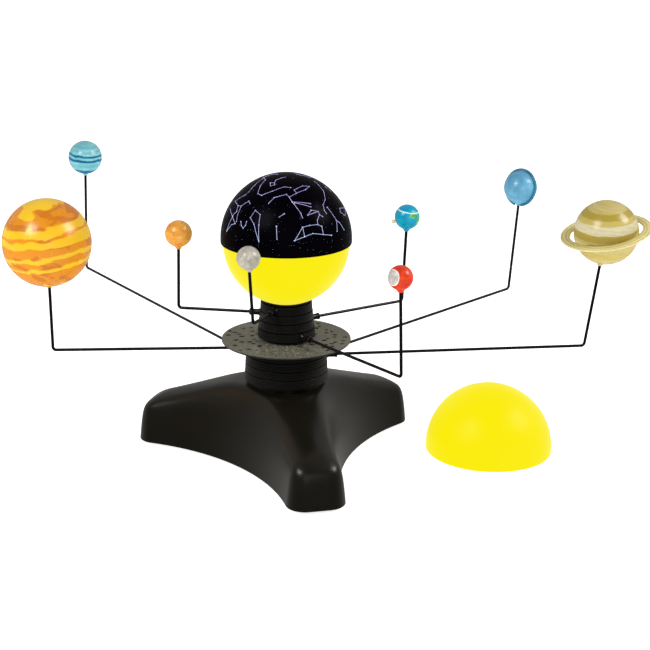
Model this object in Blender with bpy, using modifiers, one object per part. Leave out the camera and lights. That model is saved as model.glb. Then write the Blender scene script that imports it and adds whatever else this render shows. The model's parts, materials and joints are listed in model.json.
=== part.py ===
"""Motorised orrery: a three-legged base, a column of eight geared tiers with wire arms, and a lamp-lit sun.

The origin is on the column's axis, in the plane of the bottom cover. Metres, +Z up.
"""

from math import acos, atan2, cos, pi, radians, sin

import bmesh
import bpy
from mathutils import Matrix, Vector

MM = 0.001
GAP = 0.3 * MM

# Column: eight tiers, four under the asteroid disc and four over it.
TIER_PITCH = 7.6 * MM
TIER_HEIGHT = 7.2 * MM
LOWER_STACK_Z = 67.8 * MM
UPPER_STACK_Z = 105.6 * MM
TIER_SIDES = 32
BOSS_RADIUS = 2.4 * MM
BOSS_LENGTH = 9.0 * MM
WIRE_RADIUS = 1.3 * MM
WIRE_BEND = 3.0 * MM

# Gear train: one lay-shaft, whose stepped pinion drives a ring gear inside every tier.
MODULE = 1.0 * MM
LAY_OFFSET = 12.0 * MM
LAY_RADIUS = 1.0 * MM
LAY_TOP_Z = 135.2 * MM
LAY_FOOT_Z = 41.4 * MM
HUB_RADIUS = 2.3 * MM
PINION_RELIEF = 0.5 * MM
TOOTH_TIP = 0.85
TOOTH_ROOT = 1.10
TOOTH_HALF = 0.60
TOOTH_SLOPE = 0.36
CORE_CLEARANCE = 0.4 * MM
CHANNEL_RADIUS = 8.3 * MM
TUBE_RADIUS = 3.5 * MM
WIRE_BORE = 1.8 * MM
TUBE_TOP_Z = 149.0 * MM
DRIVE_MODULE = 0.8 * MM
DRIVE_TEETH = 40
MOTOR_TEETH = 8
MOTOR_BEARING = radians(-45)
DRIVE_GEAR_Z = 44.0 * MM
DRIVE_GEAR_THICK = 4.0 * MM
MOTOR_RADIUS = 10.0 * MM
MOTOR_SHAFT_RADIUS = 1.0 * MM
MOTOR_FOOT_Z = 20.6 * MM
MOTOR_TOP_Z = 40.6 * MM
MOTOR_SHAFT_TOP_Z = 47.6 * MM
CASE_RADIUS = 34.0 * MM
CASE_WALL = 2.0 * MM
CASE_FOOT_Z = 41.0 * MM
CASE_RIM_Z = 49.6 * MM
CHASSIS_RADIUS = 36.0 * MM
CHASSIS_Z = 50.0 * MM
CHASSIS_THICK = 2.0 * MM
CORE_FOOT_Z = CHASSIS_Z + CHASSIS_THICK + GAP

# Sun: a lit lower dome, and a star dome that lifts off.
SUN_RIM_Z = 187.0 * MM
DOME_RADIUS = 55.0 * MM
DOME_WALL = 1.6 * MM
DOME_SKIRT = 3.0 * MM
LOWER_DOME_RADIUS = 53.0 * MM
LOWER_DOME_HOLE = 16.0 * MM
DOME_SIDES = 28
DOME_STEPS = 5
SPARE_DOME_PLACE = (177.5 * MM, 6.3 * MM)

# Lamp: a cup on top of the column, and a small board with one bulb.
CUP_RADIUS = 15.6 * MM
CUP_INSIDE = 13.6 * MM
CUP_FLANGE = 20.6 * MM
CUP_FOOT_Z = 135.95 * MM
CUP_SEAT_Z = 137.3 * MM
CUP_RIM_Z = 141.0 * MM
BOARD_RADIUS = 9.0 * MM
BOARD_THICK = 1.6 * MM
BULB_RADIUS = 4.0 * MM
BULB_STEM = 5.0 * MM

# Base: three legs, 120 degrees apart.
LEG_AZIMUTHS = (-78.5, 41.5, 161.5)
LEG_REACH = 133.0 * MM
LEG_HALF_WIDTH = 24.5 * MM
LEG_CORNER = 16.0 * MM
OUTLINE_STEPS = 5
BAY_RADIUS = 57.0 * MM
NECK_RADIUS = 31.0 * MM
NECK_TOP_Z = 67.4 * MM
NECK_HOLE = 19.5 * MM
BASE_WALL = 2.4 * MM
# Side walls, in mm: (how far inside the floor outline, height there).
END_WALL = ((0.0, 0.6), (5.3, 26.0), (9.7, 35.0), (16.0, 40.5), (26.0, 44.5), (40.0, 60.0))
FLANK_WALL = (
    (0.0, 0.6), (1.2, 14.0), (2.6, 27.0), (4.2, 33.5), (7.0, 37.5), (12.0, 42.5), (18.0, 50.0), (30.0, 68.0)
)
BAY_WALL = ((0.0, 0.6), (1.6, 16.0), (3.6, 32.0), (6.0, 41.0), (9.0, 46.0), (14.0, 51.0), (28.0, 67.0))
FLANK_REACH = 95.0 * MM
WALL_ROWS = (0.0, 1.4, 2.8, 4.6, 8.0)
TOP_ROWS = (0.2, 0.42, 0.64, 0.84, 1.0)
SHOULDER_BLEND = 9.0 * MM
NECK_BLEND = 3.0 * MM
NECK_FOOT_Z = 65.2 * MM
LEG_TOP_Z = 67.9 * MM
LEG_FALL = 0.312
COVER_INSET = 3.6 * MM
COVER_THICK = 2.0 * MM
POST_REACH = 98.0 * MM
POST_RADIUS = 3.6 * MM
POST_TOP_Z = 46.0 * MM
POST_HOLE_RADIUS = 1.7 * MM
POST_HOLE_TOP_Z = 22.0 * MM
SCREW_RADIUS = 1.3 * MM
SCREW_TOP_Z = 20.0 * MM
SCREW_HEAD_RADIUS = 3.2 * MM
SCREW_HEAD_Z = (0.5 * MM, 1.9 * MM)
PAD_REACH = 116.0 * MM
PAD_RADIUS = 8.0 * MM
PAD_THICK = 1.2 * MM
FLOOR_Z = -GAP - PAD_THICK

# Asteroid disc
DISC_RADIUS = 55.0 * MM
DISC_TOP_Z = 103.2 * MM
DISC_THICK = 2.0 * MM
DISC_HOLE = 16.3 * MM
DISC_BOSS_RADIUS = 30.0 * MM
DISC_BOSS_Z = 98.4 * MM

# Batteries: three AA cells side by side under the column.
CELL_RADIUS = 7.15 * MM
CELL_LENGTH = 50.0 * MM
CELL_PITCH = 15.2 * MM
CELL_Z = 10.8 * MM
CELL_NUB_RADIUS = 2.6 * MM
CELL_NUB_LENGTH = 1.6 * MM
TRAY_WALL = 1.2 * MM
TRAY_TOP_Z = 19.8 * MM
TRAY_PLAY = (4.0 * MM, 0.6 * MM)
DOOR_SIZE = (54.0 * MM, 47.0 * MM)

# Power switch, in the bay between the two rear legs.
SWITCH_AZIMUTH = radians(101.5)
SWITCH_Z = 18.0 * MM
SWITCH_SLOT = (11.0 * MM, 4.4 * MM)
SWITCH_BUTTON = (7.2 * MM, 5.0 * MM, 3.6 * MM)
SWITCH_BODY = (6.0 * MM, 15.0 * MM, 8.0 * MM)

# Worlds: stack level, tier radius, ring teeth, pinion teeth, azimuth, arm reach, globe reach, globe height,
# globe radius (lengths in mm), and the globe's colour.
WORLDS = {
    "neptune": (0, 35.5, 31, 7, 122.4, 396.0, 388.5, 191.5, 17.1, (0.38, 0.72, 0.75)),
    "uranus": (1, 35.0, 32, 8, 45.8, 320.0, 332.5, 180.5, 16.3, (0.12, 0.36, 0.60)),
    "saturn": (2, 34.6, 33, 9, 5.7, 262.0, 275.6, 188.5, 27.8, (0.62, 0.52, 0.20)),
    "jupiter": (3, 34.2, 34, 10, -177.9, 197.5, 198.2, 188.0, 36.8, (0.85, 0.45, 0.04)),
    "mars": (4, 24.3, 35, 11, -53.0, 148.5, 145.0, 189.0, 9.8, (0.75, 0.08, 0.02)),
    "earth": (5, 23.4, 36, 12, 31.0, 120.0, 123.5, 193.0, 11.0, (0.01, 0.35, 0.60)),
    "venus": (6, 22.6, 37, 13, 170.0, 93.6, 92.3, 189.8, 11.4, (0.85, 0.35, 0.12)),
    "mercury": (7, 21.8, 38, 14, -117.0, 59.6, 66.6, 189.0, 9.7, (0.60, 0.58, 0.50)),
}
HOLLOW_OVER = 12.0 * MM
GLOBE_WALL = 1.8 * MM
NECK_LENGTH = 1.8 * MM
NECK_TIP_RADIUS = 2.3 * MM
NECK_SEAT = 2.6 * MM
SATURN_RING_RADIUS = 39.2 * MM
URANUS_RING_RADIUS = 18.9 * MM
MOON_RADIUS = 1.8 * MM
MOON_TOWARD = Vector((-0.93, -0.26, -0.25)).normalized()
SATURN_RING_THICK = 1.6 * MM
SATURN_RING_NORMAL = Vector((-0.188, -0.131, 0.971)).normalized()
URANUS_RING_THICK = 1.4 * MM
URANUS_RING_DIP = 0.18

FULL_TURN = 2 * pi


def clear_scene():
    for old in list(bpy.data.objects):
        bpy.data.objects.remove(old)


def make_collection(name):
    made = bpy.data.collections.new(name)
    bpy.context.scene.collection.children.link(made)
    return made


def material(name, colour, roughness=0.4, metallic=0.0, glow=0.0):
    made = bpy.data.materials.get(name) or bpy.data.materials.new(name)
    made.use_nodes = True
    shader = made.node_tree.nodes["Principled BSDF"]
    shader.inputs["Base Color"].default_value = (*colour, 1.0)
    shader.inputs["Roughness"].default_value = roughness
    shader.inputs["Metallic"].default_value = metallic
    shader.inputs["Emission Color"].default_value = (*colour, 1.0)
    shader.inputs["Emission Strength"].default_value = glow
    return made


clear_scene()
PARTS = make_collection("orrery")
CUTTERS = make_collection("cutters")
BLACK = material("black_plastic", (0.012, 0.011, 0.010), 0.35)
DARK = material("dark_gear_plastic", (0.05, 0.05, 0.06), 0.5)
STEEL = material("steel", (0.55, 0.55, 0.56), 0.3, 1.0)
WIRE = material("black_wire", (0.015, 0.015, 0.017), 0.4, 0.6)
SUN_YELLOW = material("sun_yellow", (1.0, 0.80, 0.0), 0.3, 0.0, 1.0)
GREY = material("asteroid_grey", (0.13, 0.13, 0.11), 0.7)
RUBBER = material("rubber", (0.02, 0.02, 0.02), 0.8)


def polar(radius, angle, z=0.0):
    return Vector((radius * cos(angle), radius * sin(angle), z))


def place(name, mesh, skin, matrix=None):
    """Links a mesh as a sub-part, or as a helper cutter where there is no material."""
    made = bpy.data.objects.new(name, mesh)
    if matrix is not None:
        made.matrix_world = matrix
    if skin is None:
        CUTTERS.objects.link(made)
        made.hide_render = True
        made.display_type = "WIRE"
        return made
    PARTS.objects.link(made)
    mesh.materials.clear()
    mesh.materials.append(skin)
    mesh.shade_smooth()
    mesh.set_sharp_from_angle(angle=radians(35))
    return made


def box(name, size, centre, skin, turn=0.0):
    shape = bmesh.new()
    bmesh.ops.create_cube(shape, size=1.0, matrix=Matrix.Diagonal((*size, 1.0)))
    mesh = bpy.data.meshes.new(name)
    shape.to_mesh(mesh)
    shape.free()
    return place(name, mesh, skin, Matrix.Translation(centre) @ Matrix.Rotation(turn, 4, "Z"))


def cylinder(name, radius, bottom, top, skin, centre=(0.0, 0.0), sides=24):
    shape = bmesh.new()
    bmesh.ops.create_cone(
        shape, cap_ends=True, segments=sides, radius1=radius, radius2=radius, depth=top - bottom
    )
    mesh = bpy.data.meshes.new(name)
    shape.to_mesh(mesh)
    shape.free()
    return place(name, mesh, skin, Matrix.Translation((*centre, (bottom + top) / 2)))


def spoke(name, radius, start, end, azimuth, z, skin, sides=12):
    """A cylinder that lies along a radius of the column."""
    rod = cylinder(name, radius, start, end, skin, sides=sides)
    along = Matrix.Rotation(azimuth, 4, "Z") @ Matrix.Rotation(pi / 2, 4, "Y")
    rod.matrix_world = Matrix.Translation((0, 0, z)) @ along @ Matrix.Translation((0, 0, (start + end) / 2))
    return rod


def turned(name, profile, skin, sides=32, matrix=None, ring=False):
    """A profile of (radius, z), outer side first from top to bottom, turned about Z."""
    mesh = bpy.data.meshes.new(name)
    count = len(profile)
    edges = [(i, i + 1) for i in range(count - 1)]
    if ring:
        edges.append((count - 1, 0))
    mesh.from_pydata([(r, 0.0, z) for r, z in profile], edges, [])
    made = place(name, mesh, skin, matrix)
    screw = made.modifiers.new("turn", "SCREW")
    screw.steps = screw.render_steps = sides
    screw.use_merge_vertices = True
    screw.merge_threshold = 1e-5
    screw.use_smooth_shade = True
    return made


def outline_mesh(name, outlines, thickness):
    """A flat filled outline, with any further outline as a hole, extruded from z = 0 upwards."""
    curve = bpy.data.curves.new(name, "CURVE")
    curve.dimensions = "2D"
    curve.fill_mode = "BOTH"
    curve.extrude = thickness / 2
    for outline in outlines:
        spline = curve.splines.new("POLY")
        spline.points.add(len(outline) - 1)
        for point, (x, y) in zip(spline.points, outline):
            point.co = (x, y, 0.0, 1.0)
        spline.use_cyclic_u = True
    drawn = bpy.data.objects.new(name + "_outline", curve)
    CUTTERS.objects.link(drawn)
    graph = bpy.context.evaluated_depsgraph_get()
    mesh = bpy.data.meshes.new_from_object(drawn.evaluated_get(graph))
    bpy.data.objects.remove(drawn)
    bpy.data.curves.remove(curve)
    shape = bmesh.new()
    shape.from_mesh(mesh)
    bmesh.ops.remove_doubles(shape, verts=shape.verts, dist=1e-6)
    bmesh.ops.translate(shape, verts=shape.verts, vec=(0, 0, thickness / 2))
    bmesh.ops.recalc_face_normals(shape, faces=shape.faces)
    shape.to_mesh(mesh)
    shape.free()
    mesh.name = name
    return mesh


def combine(target, other, operation):
    step = target.modifiers.new(operation.lower(), "BOOLEAN")
    step.operation = operation
    step.object = other
    return target


def circle(radius, sides, centre=(0.0, 0.0)):
    steps = [FULL_TURN * i / sides for i in range(sides)]
    return [(centre[0] + radius * cos(a), centre[1] + radius * sin(a)) for a in steps]


def arc(radius, start, end, steps, centre_z=0.0):
    """Profile points (radius, z) on a sphere, by elevation."""
    angles = [start + (end - start) * i / steps for i in range(steps + 1)]
    return [(radius * cos(a), centre_z + radius * sin(a)) for a in angles]


def gear_outline(teeth, module, phase, inward=False):
    """Slim trapezoid teeth. An inward gear is a ring gear, whose teeth point at the axis."""
    pitch_radius = teeth * module / 2
    side = -1 if inward else 1
    tip, root = pitch_radius + side * TOOTH_TIP * module, pitch_radius - side * TOOTH_ROOT * module
    half_tip = (TOOTH_HALF - TOOTH_TIP * TOOTH_SLOPE) * module / tip
    half_root = min((TOOTH_HALF + TOOTH_ROOT * TOOTH_SLOPE) * module / root, 0.46 * FULL_TURN / teeth)
    points = []
    for tooth in range(teeth):
        middle = phase + FULL_TURN * tooth / teeth
        for radius, angle in ((root, -half_root), (tip, -half_tip), (tip, half_tip), (root, half_root)):
            points.append((radius * cos(middle + angle), radius * sin(middle + angle)))
    return points


def tier_bottom(level):
    if level < 4:
        return LOWER_STACK_Z + level * TIER_PITCH
    return UPPER_STACK_Z + (level - 4) * TIER_PITCH


def make_tier(name, level, radius, ring_teeth, azimuth):
    """A ring with its gear inside, and a boss outside that holds the arm."""
    bottom = tier_bottom(level)
    gap_on_lay_shaft = pi / 2 + pi / ring_teeth
    teeth = gear_outline(ring_teeth, MODULE, gap_on_lay_shaft, inward=True)
    mesh = outline_mesh(f"{name}_tier", (circle(radius, TIER_SIDES), teeth), TIER_HEIGHT)
    tier = place(f"{name}_tier", mesh, BLACK, Matrix.Translation((0, 0, bottom)))
    arm_z = bottom + TIER_HEIGHT / 2
    outer_end = radius + BOSS_LENGTH
    boss = spoke(f"{name}_boss", BOSS_RADIUS, radius - 0.9 * MM, outer_end, azimuth, arm_z, None)
    socket = spoke(
        f"{name}_socket", WIRE_RADIUS + GAP, radius + 1 * MM, outer_end + 1 * MM, azimuth, arm_z, None, 8
    )
    combine(tier, boss, "UNION")
    combine(tier, socket, "DIFFERENCE")


def make_arm(name, level, radius, azimuth, reach, centre, globe_radius):
    """A wire, bent up once, from the tier's boss to the neck of the globe."""
    arm_z = tier_bottom(level) + TIER_HEIGHT / 2
    corner = polar(reach, azimuth, arm_z)
    outward = polar(1.0, azimuth)
    upward = (centre - corner).normalized()
    top = centre - upward * (globe_radius - NECK_SEAT + GAP)
    points = [polar(radius + 1.5 * MM, azimuth, arm_z)]
    for part in (0.0, 0.5, 1.0):
        before, after = corner - outward * WIRE_BEND, corner + upward * WIRE_BEND
        points.append(before * (1 - part) ** 2 + corner * 2 * part * (1 - part) + after * part**2)
    points.append(top)
    curve = bpy.data.curves.new(f"{name}_arm", "CURVE")
    curve.dimensions = "3D"
    curve.bevel_depth = WIRE_RADIUS
    curve.bevel_resolution = 2
    curve.use_fill_caps = True
    spline = curve.splines.new("POLY")
    spline.points.add(len(points) - 1)
    for point, co in zip(spline.points, points):
        point.co = (*co, 1.0)
    curve.materials.append(WIRE)
    PARTS.objects.link(bpy.data.objects.new(f"{name}_arm", curve))
    return upward


def make_globe(name, centre, radius, upward, colour):
    """A ball whose neck grips the wire. The larger balls are hollow."""
    hollow = radius > HOLLOW_OVER
    neck_angle = -acos(NECK_TIP_RADIUS * 1.5 / radius)
    neck_z = -radius - NECK_LENGTH
    bore = WIRE_RADIUS + GAP
    rows = 8 if hollow else 7
    profile = arc(radius, pi / 2, neck_angle, rows)
    profile += [(NECK_TIP_RADIUS, neck_z), (bore, neck_z)]
    if hollow:
        inside = radius - GLOBE_WALL
        profile += arc(inside, -acos(bore / inside), pi / 2, 5)
    else:
        seat = -radius + NECK_SEAT + 2 * GAP
        profile += [(bore, seat), (0.0, seat)]
    profile[0] = (0.0, radius)
    if hollow:
        profile[-1] = (0.0, radius - GLOBE_WALL)
    stand = Matrix.Translation(centre) @ upward.to_track_quat("Z", "Y").to_matrix().to_4x4()
    return turned(name, profile, material(f"{name}_paint", colour, 0.2), 18 if hollow else 12, stand)


def make_world(name):
    level, tier_mm, ring_teeth, _, bearing, arm_mm, globe_mm, height_mm, radius_mm, colour = WORLDS[name]
    azimuth = radians(bearing)
    centre = polar(globe_mm * MM, azimuth, height_mm * MM)
    make_tier(name, level, tier_mm * MM, ring_teeth, azimuth)
    upward = make_arm(name, level, tier_mm * MM, azimuth, arm_mm * MM, centre, radius_mm * MM)
    make_globe(name, centre, radius_mm * MM, upward, colour)
    return centre, radius_mm * MM, upward


def flat_ring(name, inner, outer, thickness, centre, normal, colour):
    profile = (
        (inner, thickness / 2), (outer, thickness / 2), (outer, -thickness / 2), (inner, -thickness / 2)
    )
    stand = Matrix.Translation(centre) @ normal.to_track_quat("Z", "Y").to_matrix().to_4x4()
    return turned(name, profile, material(f"{name}_paint", colour, 0.3), 28, stand, ring=True)


def make_worlds():
    places = {name: make_world(name) for name in WORLDS}
    make_saturn_ring(*places["saturn"])
    make_uranus_ring(*places["uranus"])
    centre, radius, _ = places["earth"]
    spot = centre + MOON_TOWARD * (radius + GAP + MOON_RADIUS)
    profile = arc(MOON_RADIUS, pi / 2, -pi / 2, 6)
    profile[0], profile[-1] = (0.0, MOON_RADIUS), (0.0, -MOON_RADIUS)
    turned("moon", profile, material("moon_paint", (0.75, 0.66, 0.50)), 10, Matrix.Translation(spot))


def make_saturn_ring(centre, radius, _):
    colour = (0.60, 0.52, 0.25)
    inner, outer = radius + GAP, SATURN_RING_RADIUS
    flat_ring("saturn_ring", inner, outer, SATURN_RING_THICK, centre, SATURN_RING_NORMAL, colour)


def make_uranus_ring(centre, radius, upward):
    """A ring that stands upright, with a slot for the globe's neck."""
    outward = Vector((centre.x, centre.y, 0.0)).normalized()
    normal = (outward - Vector((0, 0, URANUS_RING_DIP))).normalized()
    colour = (0.10, 0.33, 0.50)
    inner, outer = radius + GAP, URANUS_RING_RADIUS
    ring = flat_ring("uranus_ring", inner, outer, URANUS_RING_THICK, centre, normal, colour)
    slot_radius = NECK_TIP_RADIUS * 1.5 + 2 * GAP
    neck_slot = cylinder("neck_slot", slot_radius, -radius - 2 * NECK_LENGTH, -radius / 2, None)
    stand = Matrix.Translation(centre) @ upward.to_track_quat("Z", "Y").to_matrix().to_4x4()
    neck_slot.matrix_world = stand @ neck_slot.matrix_world
    combine(ring, neck_slot, "DIFFERENCE")


def make_pinion_stack():
    """One moulding with a pinion for every tier, joined by its hub, on the lay-shaft."""
    here = (0.0, LAY_OFFSET)
    hub_bottom = tier_bottom(0) + PINION_RELIEF / 2
    hub_top = tier_bottom(7) + TIER_HEIGHT - PINION_RELIEF / 2
    stack = cylinder("pinion_stack", HUB_RADIUS, hub_bottom, hub_top, DARK, here, 10)
    for name, (level, _, _, teeth, *_) in WORLDS.items():
        outline = gear_outline(teeth, MODULE, pi / 2)
        mesh = outline_mesh(f"{name}_pinion", (outline,), TIER_HEIGHT - 2 * PINION_RELIEF)
        stand = Matrix.Translation((0, LAY_OFFSET, tier_bottom(level) + PINION_RELIEF))
        combine(stack, place(f"{name}_pinion", mesh, None, stand), "UNION")
    bore = cylinder("stack_bore", LAY_RADIUS + GAP, hub_bottom - 1 * MM, hub_top + 1 * MM, None, here, 8)
    combine(stack, bore, "DIFFERENCE")


def make_drive():
    here = (0.0, LAY_OFFSET)
    cylinder("lay_shaft", LAY_RADIUS, LAY_FOOT_Z, LAY_TOP_Z, STEEL, here, 12)
    teeth = gear_outline(DRIVE_TEETH, DRIVE_MODULE, MOTOR_BEARING + pi / DRIVE_TEETH)
    mesh = outline_mesh("drive_gear", (teeth, circle(LAY_RADIUS + GAP, 12)), DRIVE_GEAR_THICK)
    place("drive_gear", mesh, DARK, Matrix.Translation((*here, DRIVE_GEAR_Z)))
    motor = Vector((*here, 0)) + polar((DRIVE_TEETH + MOTOR_TEETH) * DRIVE_MODULE / 2, MOTOR_BEARING)
    teeth = gear_outline(MOTOR_TEETH, DRIVE_MODULE, MOTOR_BEARING + pi)
    mesh = outline_mesh("motor_pinion", (teeth, circle(MOTOR_SHAFT_RADIUS + GAP, 10)), DRIVE_GEAR_THICK)
    place("motor_pinion", mesh, DARK, Matrix.Translation((motor.x, motor.y, DRIVE_GEAR_Z)))
    profile = (
        (0.0, MOTOR_SHAFT_TOP_Z), (MOTOR_SHAFT_RADIUS, MOTOR_SHAFT_TOP_Z), (MOTOR_SHAFT_RADIUS, MOTOR_TOP_Z),
        (MOTOR_RADIUS, MOTOR_TOP_Z), (MOTOR_RADIUS, MOTOR_FOOT_Z), (0.0, MOTOR_FOOT_Z),
    )
    turned("motor", profile, STEEL, 20, Matrix.Translation((motor.x, motor.y, 0)))
    inside, floor_z = CASE_RADIUS - CASE_WALL, CASE_FOOT_Z + CASE_WALL
    profile = (
        (0.0, floor_z), (inside, floor_z), (inside, CASE_RIM_Z), (CASE_RADIUS, CASE_RIM_Z),
        (CASE_RADIUS, CASE_FOOT_Z), (0.0, CASE_FOOT_Z),
    )
    case = turned("gearbox_case", profile, BLACK, 28)
    under, over = CASE_FOOT_Z - 1 * MM, floor_z + 1 * MM
    shaft_hole = MOTOR_SHAFT_RADIUS + 0.5 * MM
    motor_hole = cylinder("motor_hole", shaft_hole, under, over, None, (motor.x, motor.y), 12)
    foot_hole = cylinder("foot_hole", LAY_RADIUS + GAP, under, over, None, here, 12)
    combine(case, motor_hole, "DIFFERENCE")
    combine(case, foot_hole, "DIFFERENCE")
    outlines = (circle(CHASSIS_RADIUS, 28), circle(LAY_RADIUS + 2 * GAP, 12, here), circle(WIRE_BORE, 12))
    mesh = outline_mesh("chassis_plate", outlines, CHASSIS_THICK)
    place("chassis_plate", mesh, BLACK, Matrix.Translation((0, 0, CHASSIS_Z)))


def make_core():
    """The fixed core that the tiers turn on, with a channel for the pinions and a bore for the lamp wires."""
    outer = [(TUBE_RADIUS, TUBE_TOP_Z)]
    top = edge_z = tier_bottom(7) + TIER_HEIGHT
    for name in reversed(WORLDS):
        level, _, teeth, *_ = WORLDS[name]
        radius = teeth * MODULE / 2 - TOOTH_TIP * MODULE - CORE_CLEARANCE
        outer += [(outer[-1][0], edge_z), (radius, edge_z)]
        edge_z = tier_bottom(level)
    outer += [(radius, CORE_FOOT_Z), (WIRE_BORE, CORE_FOOT_Z), (WIRE_BORE, TUBE_TOP_Z)]
    core = turned("central_core", outer, BLACK, 24, ring=True)
    foot, head = CORE_FOOT_Z - 1 * MM, top + 0.5 * MM
    channel = cylinder("pinion_channel", CHANNEL_RADIUS, foot, head, None, (0, LAY_OFFSET), 20)
    combine(core, channel, "DIFFERENCE")


def make_disc():
    under = DISC_TOP_Z - DISC_THICK
    profile = (
        (DISC_HOLE, DISC_TOP_Z), (DISC_RADIUS, DISC_TOP_Z), (DISC_RADIUS, under),
        (DISC_BOSS_RADIUS, under), (DISC_BOSS_RADIUS, DISC_BOSS_Z), (DISC_HOLE, DISC_BOSS_Z),
    )
    turned("asteroid_disc", profile, GREY, 40, ring=True)


def dome_profile(centre_z):
    outside = arc(DOME_RADIUS, pi / 2, 0, DOME_STEPS, centre_z)
    inside = arc(DOME_RADIUS - DOME_WALL, 0, pi / 2, DOME_STEPS, centre_z)
    outside[0], inside[-1] = (0.0, centre_z + DOME_RADIUS), (0.0, centre_z + DOME_RADIUS - DOME_WALL)
    rim_z = centre_z - DOME_SKIRT
    return outside + [(DOME_RADIUS, rim_z), (DOME_RADIUS - DOME_WALL, rim_z)] + inside


def make_domes():
    star_black = material("star_black", (0.004, 0.003, 0.01))
    turned("star_dome", dome_profile(SUN_RIM_Z + GAP + DOME_SKIRT), star_black, DOME_SIDES)
    spare = Matrix.Translation((*SPARE_DOME_PLACE, FLOOR_Z))
    turned("spare_dome", dome_profile(DOME_SKIRT), SUN_YELLOW, DOME_SIDES, spare)
    inner_radius = LOWER_DOME_RADIUS - DOME_WALL
    lip_top = SUN_RIM_Z + DOME_SKIRT
    lip = LOWER_DOME_RADIUS - 0.1 * MM
    flange = DOME_RADIUS - 0.5 * MM
    profile = [(lip, lip_top), (lip, SUN_RIM_Z), (flange, SUN_RIM_Z), (flange, SUN_RIM_Z - 1 * MM)]
    profile += arc(LOWER_DOME_RADIUS, radians(-2), -acos(LOWER_DOME_HOLE / LOWER_DOME_RADIUS), 6, SUN_RIM_Z)
    profile += arc(inner_radius, -acos(LOWER_DOME_HOLE / inner_radius), 0, 6, SUN_RIM_Z)
    profile.append((inner_radius, lip_top))
    turned("sun_lower_dome", profile, SUN_YELLOW, DOME_SIDES, ring=True)


def make_lamp():
    """The cup that carries the lower dome, a board on the core's tube, and the bulb."""
    bore = TUBE_RADIUS + GAP
    profile = (
        (CUP_RADIUS, CUP_RIM_Z), (CUP_RADIUS, CUP_FOOT_Z + GAP), (CUP_FLANGE - 3.1 * MM, CUP_FOOT_Z + 0.5 * MM),
        (CUP_FLANGE, CUP_SEAT_Z + 0.4 * MM), (CUP_FLANGE, CUP_FOOT_Z), (bore, CUP_FOOT_Z),
        (bore, CUP_SEAT_Z), (CUP_INSIDE, CUP_SEAT_Z), (CUP_INSIDE, CUP_RIM_Z),
    )
    turned("lamp_cup", profile, BLACK, 24, ring=True)
    board_z = TUBE_TOP_Z + GAP
    board_green = material("board_green", (0.02, 0.18, 0.06))
    cylinder("lamp_board", BOARD_RADIUS, board_z, board_z + BOARD_THICK, board_green)
    lamp_z = board_z + BOARD_THICK + GAP
    dome_z = lamp_z + BULB_STEM
    profile = arc(BULB_RADIUS, pi / 2, 0, 4, dome_z)
    profile[0] = (0.0, dome_z + BULB_RADIUS)
    profile += [(BULB_RADIUS, lamp_z), (0.0, lamp_z)]
    turned("lamp_led", profile, material("lamp_clear", (1.0, 0.95, 0.8), 0.1, 0.0, 2.0), 14)


def leg_outline(inset=0.0):
    """Points and outward normals of three legs with rounded ends, which run tangent into concave bays."""
    corner = Vector((LEG_REACH - LEG_CORNER, LEG_CORNER - LEG_HALF_WIDTH))
    bay_way = Vector((cos(radians(60)), -sin(radians(60))))
    excess = LEG_CORNER - BAY_RADIUS
    distance = (corner.length_squared - excess**2) / (2 * (corner.dot(bay_way) + excess))
    centre = bay_way * distance
    rise = corner - centre
    bay_radius = distance - BAY_RADIUS + inset
    corner_radius = LEG_CORNER - inset
    start, end = atan2(-bay_way.y, -bay_way.x), atan2(rise.y, rise.x)
    half_leg = []
    for step in range(OUTLINE_STEPS):
        turn = start + (end - start) * step / OUTLINE_STEPS
        way = Vector((cos(turn), sin(turn)))
        half_leg.append((centre + way * bay_radius, -way))
    first = end + pi if end < 0 else end - pi
    for step in range(OUTLINE_STEPS):
        turn = first * (1 - step / (OUTLINE_STEPS - 1))
        way = Vector((cos(turn), sin(turn)))
        half_leg.append((corner + way * corner_radius, way))
    mirrored = [(Vector((p.x, -p.y)), Vector((n.x, -n.y))) for p, n in reversed(half_leg[1:])]
    outline = []
    for bearing in LEG_AZIMUTHS:
        turn = Matrix.Rotation(radians(bearing), 2)
        outline += [(turn @ p, turn @ n) for p, n in half_leg + mirrored]
    return outline


def wall_height(steps, depth):
    """The height of a side wall at that depth inside the floor outline."""
    for (near, low), (far, high) in zip(steps, steps[1:]):
        if depth <= far * MM:
            return (low + (high - low) * (depth / MM - near) / (far - near)) * MM
    return steps[-1][1] * MM


def soft_least(first, second, blend):
    """The smaller of the two, rounded over where they are close."""
    close = max(blend - abs(first - second), 0.0) / blend
    return min(first, second) - close * close * blend / 4


def shell_height(spot, outline):
    """The housing's height over a spot: a sloping leg top, rounded over into the side wall."""
    depth, foot, normal = min(((spot - point).length, tuple(point), tuple(way)) for point, way in outline)
    leg = max((polar(1.0, radians(bearing)).xy for bearing in LEG_AZIMUTHS), key=spot.dot)
    end_share = max(Vector(normal).dot(leg), 0.0)
    bay_share = (FLANK_REACH - Vector(foot).length) / (FLANK_REACH - BAY_RADIUS)
    bay_share = min(max(bay_share, 0.0), 1.0)
    leg_wall = wall_height(FLANK_WALL, depth) * (1 - end_share) + wall_height(END_WALL, depth) * end_share
    wall = leg_wall * (1 - bay_share) + wall_height(BAY_WALL, depth) * bay_share
    top = soft_least(NECK_FOOT_Z, LEG_TOP_Z - LEG_FALL * (spot.length - NECK_RADIUS), NECK_BLEND)
    return max(soft_least(wall, top, SHOULDER_BLEND), END_WALL[0][1] * MM)


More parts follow.
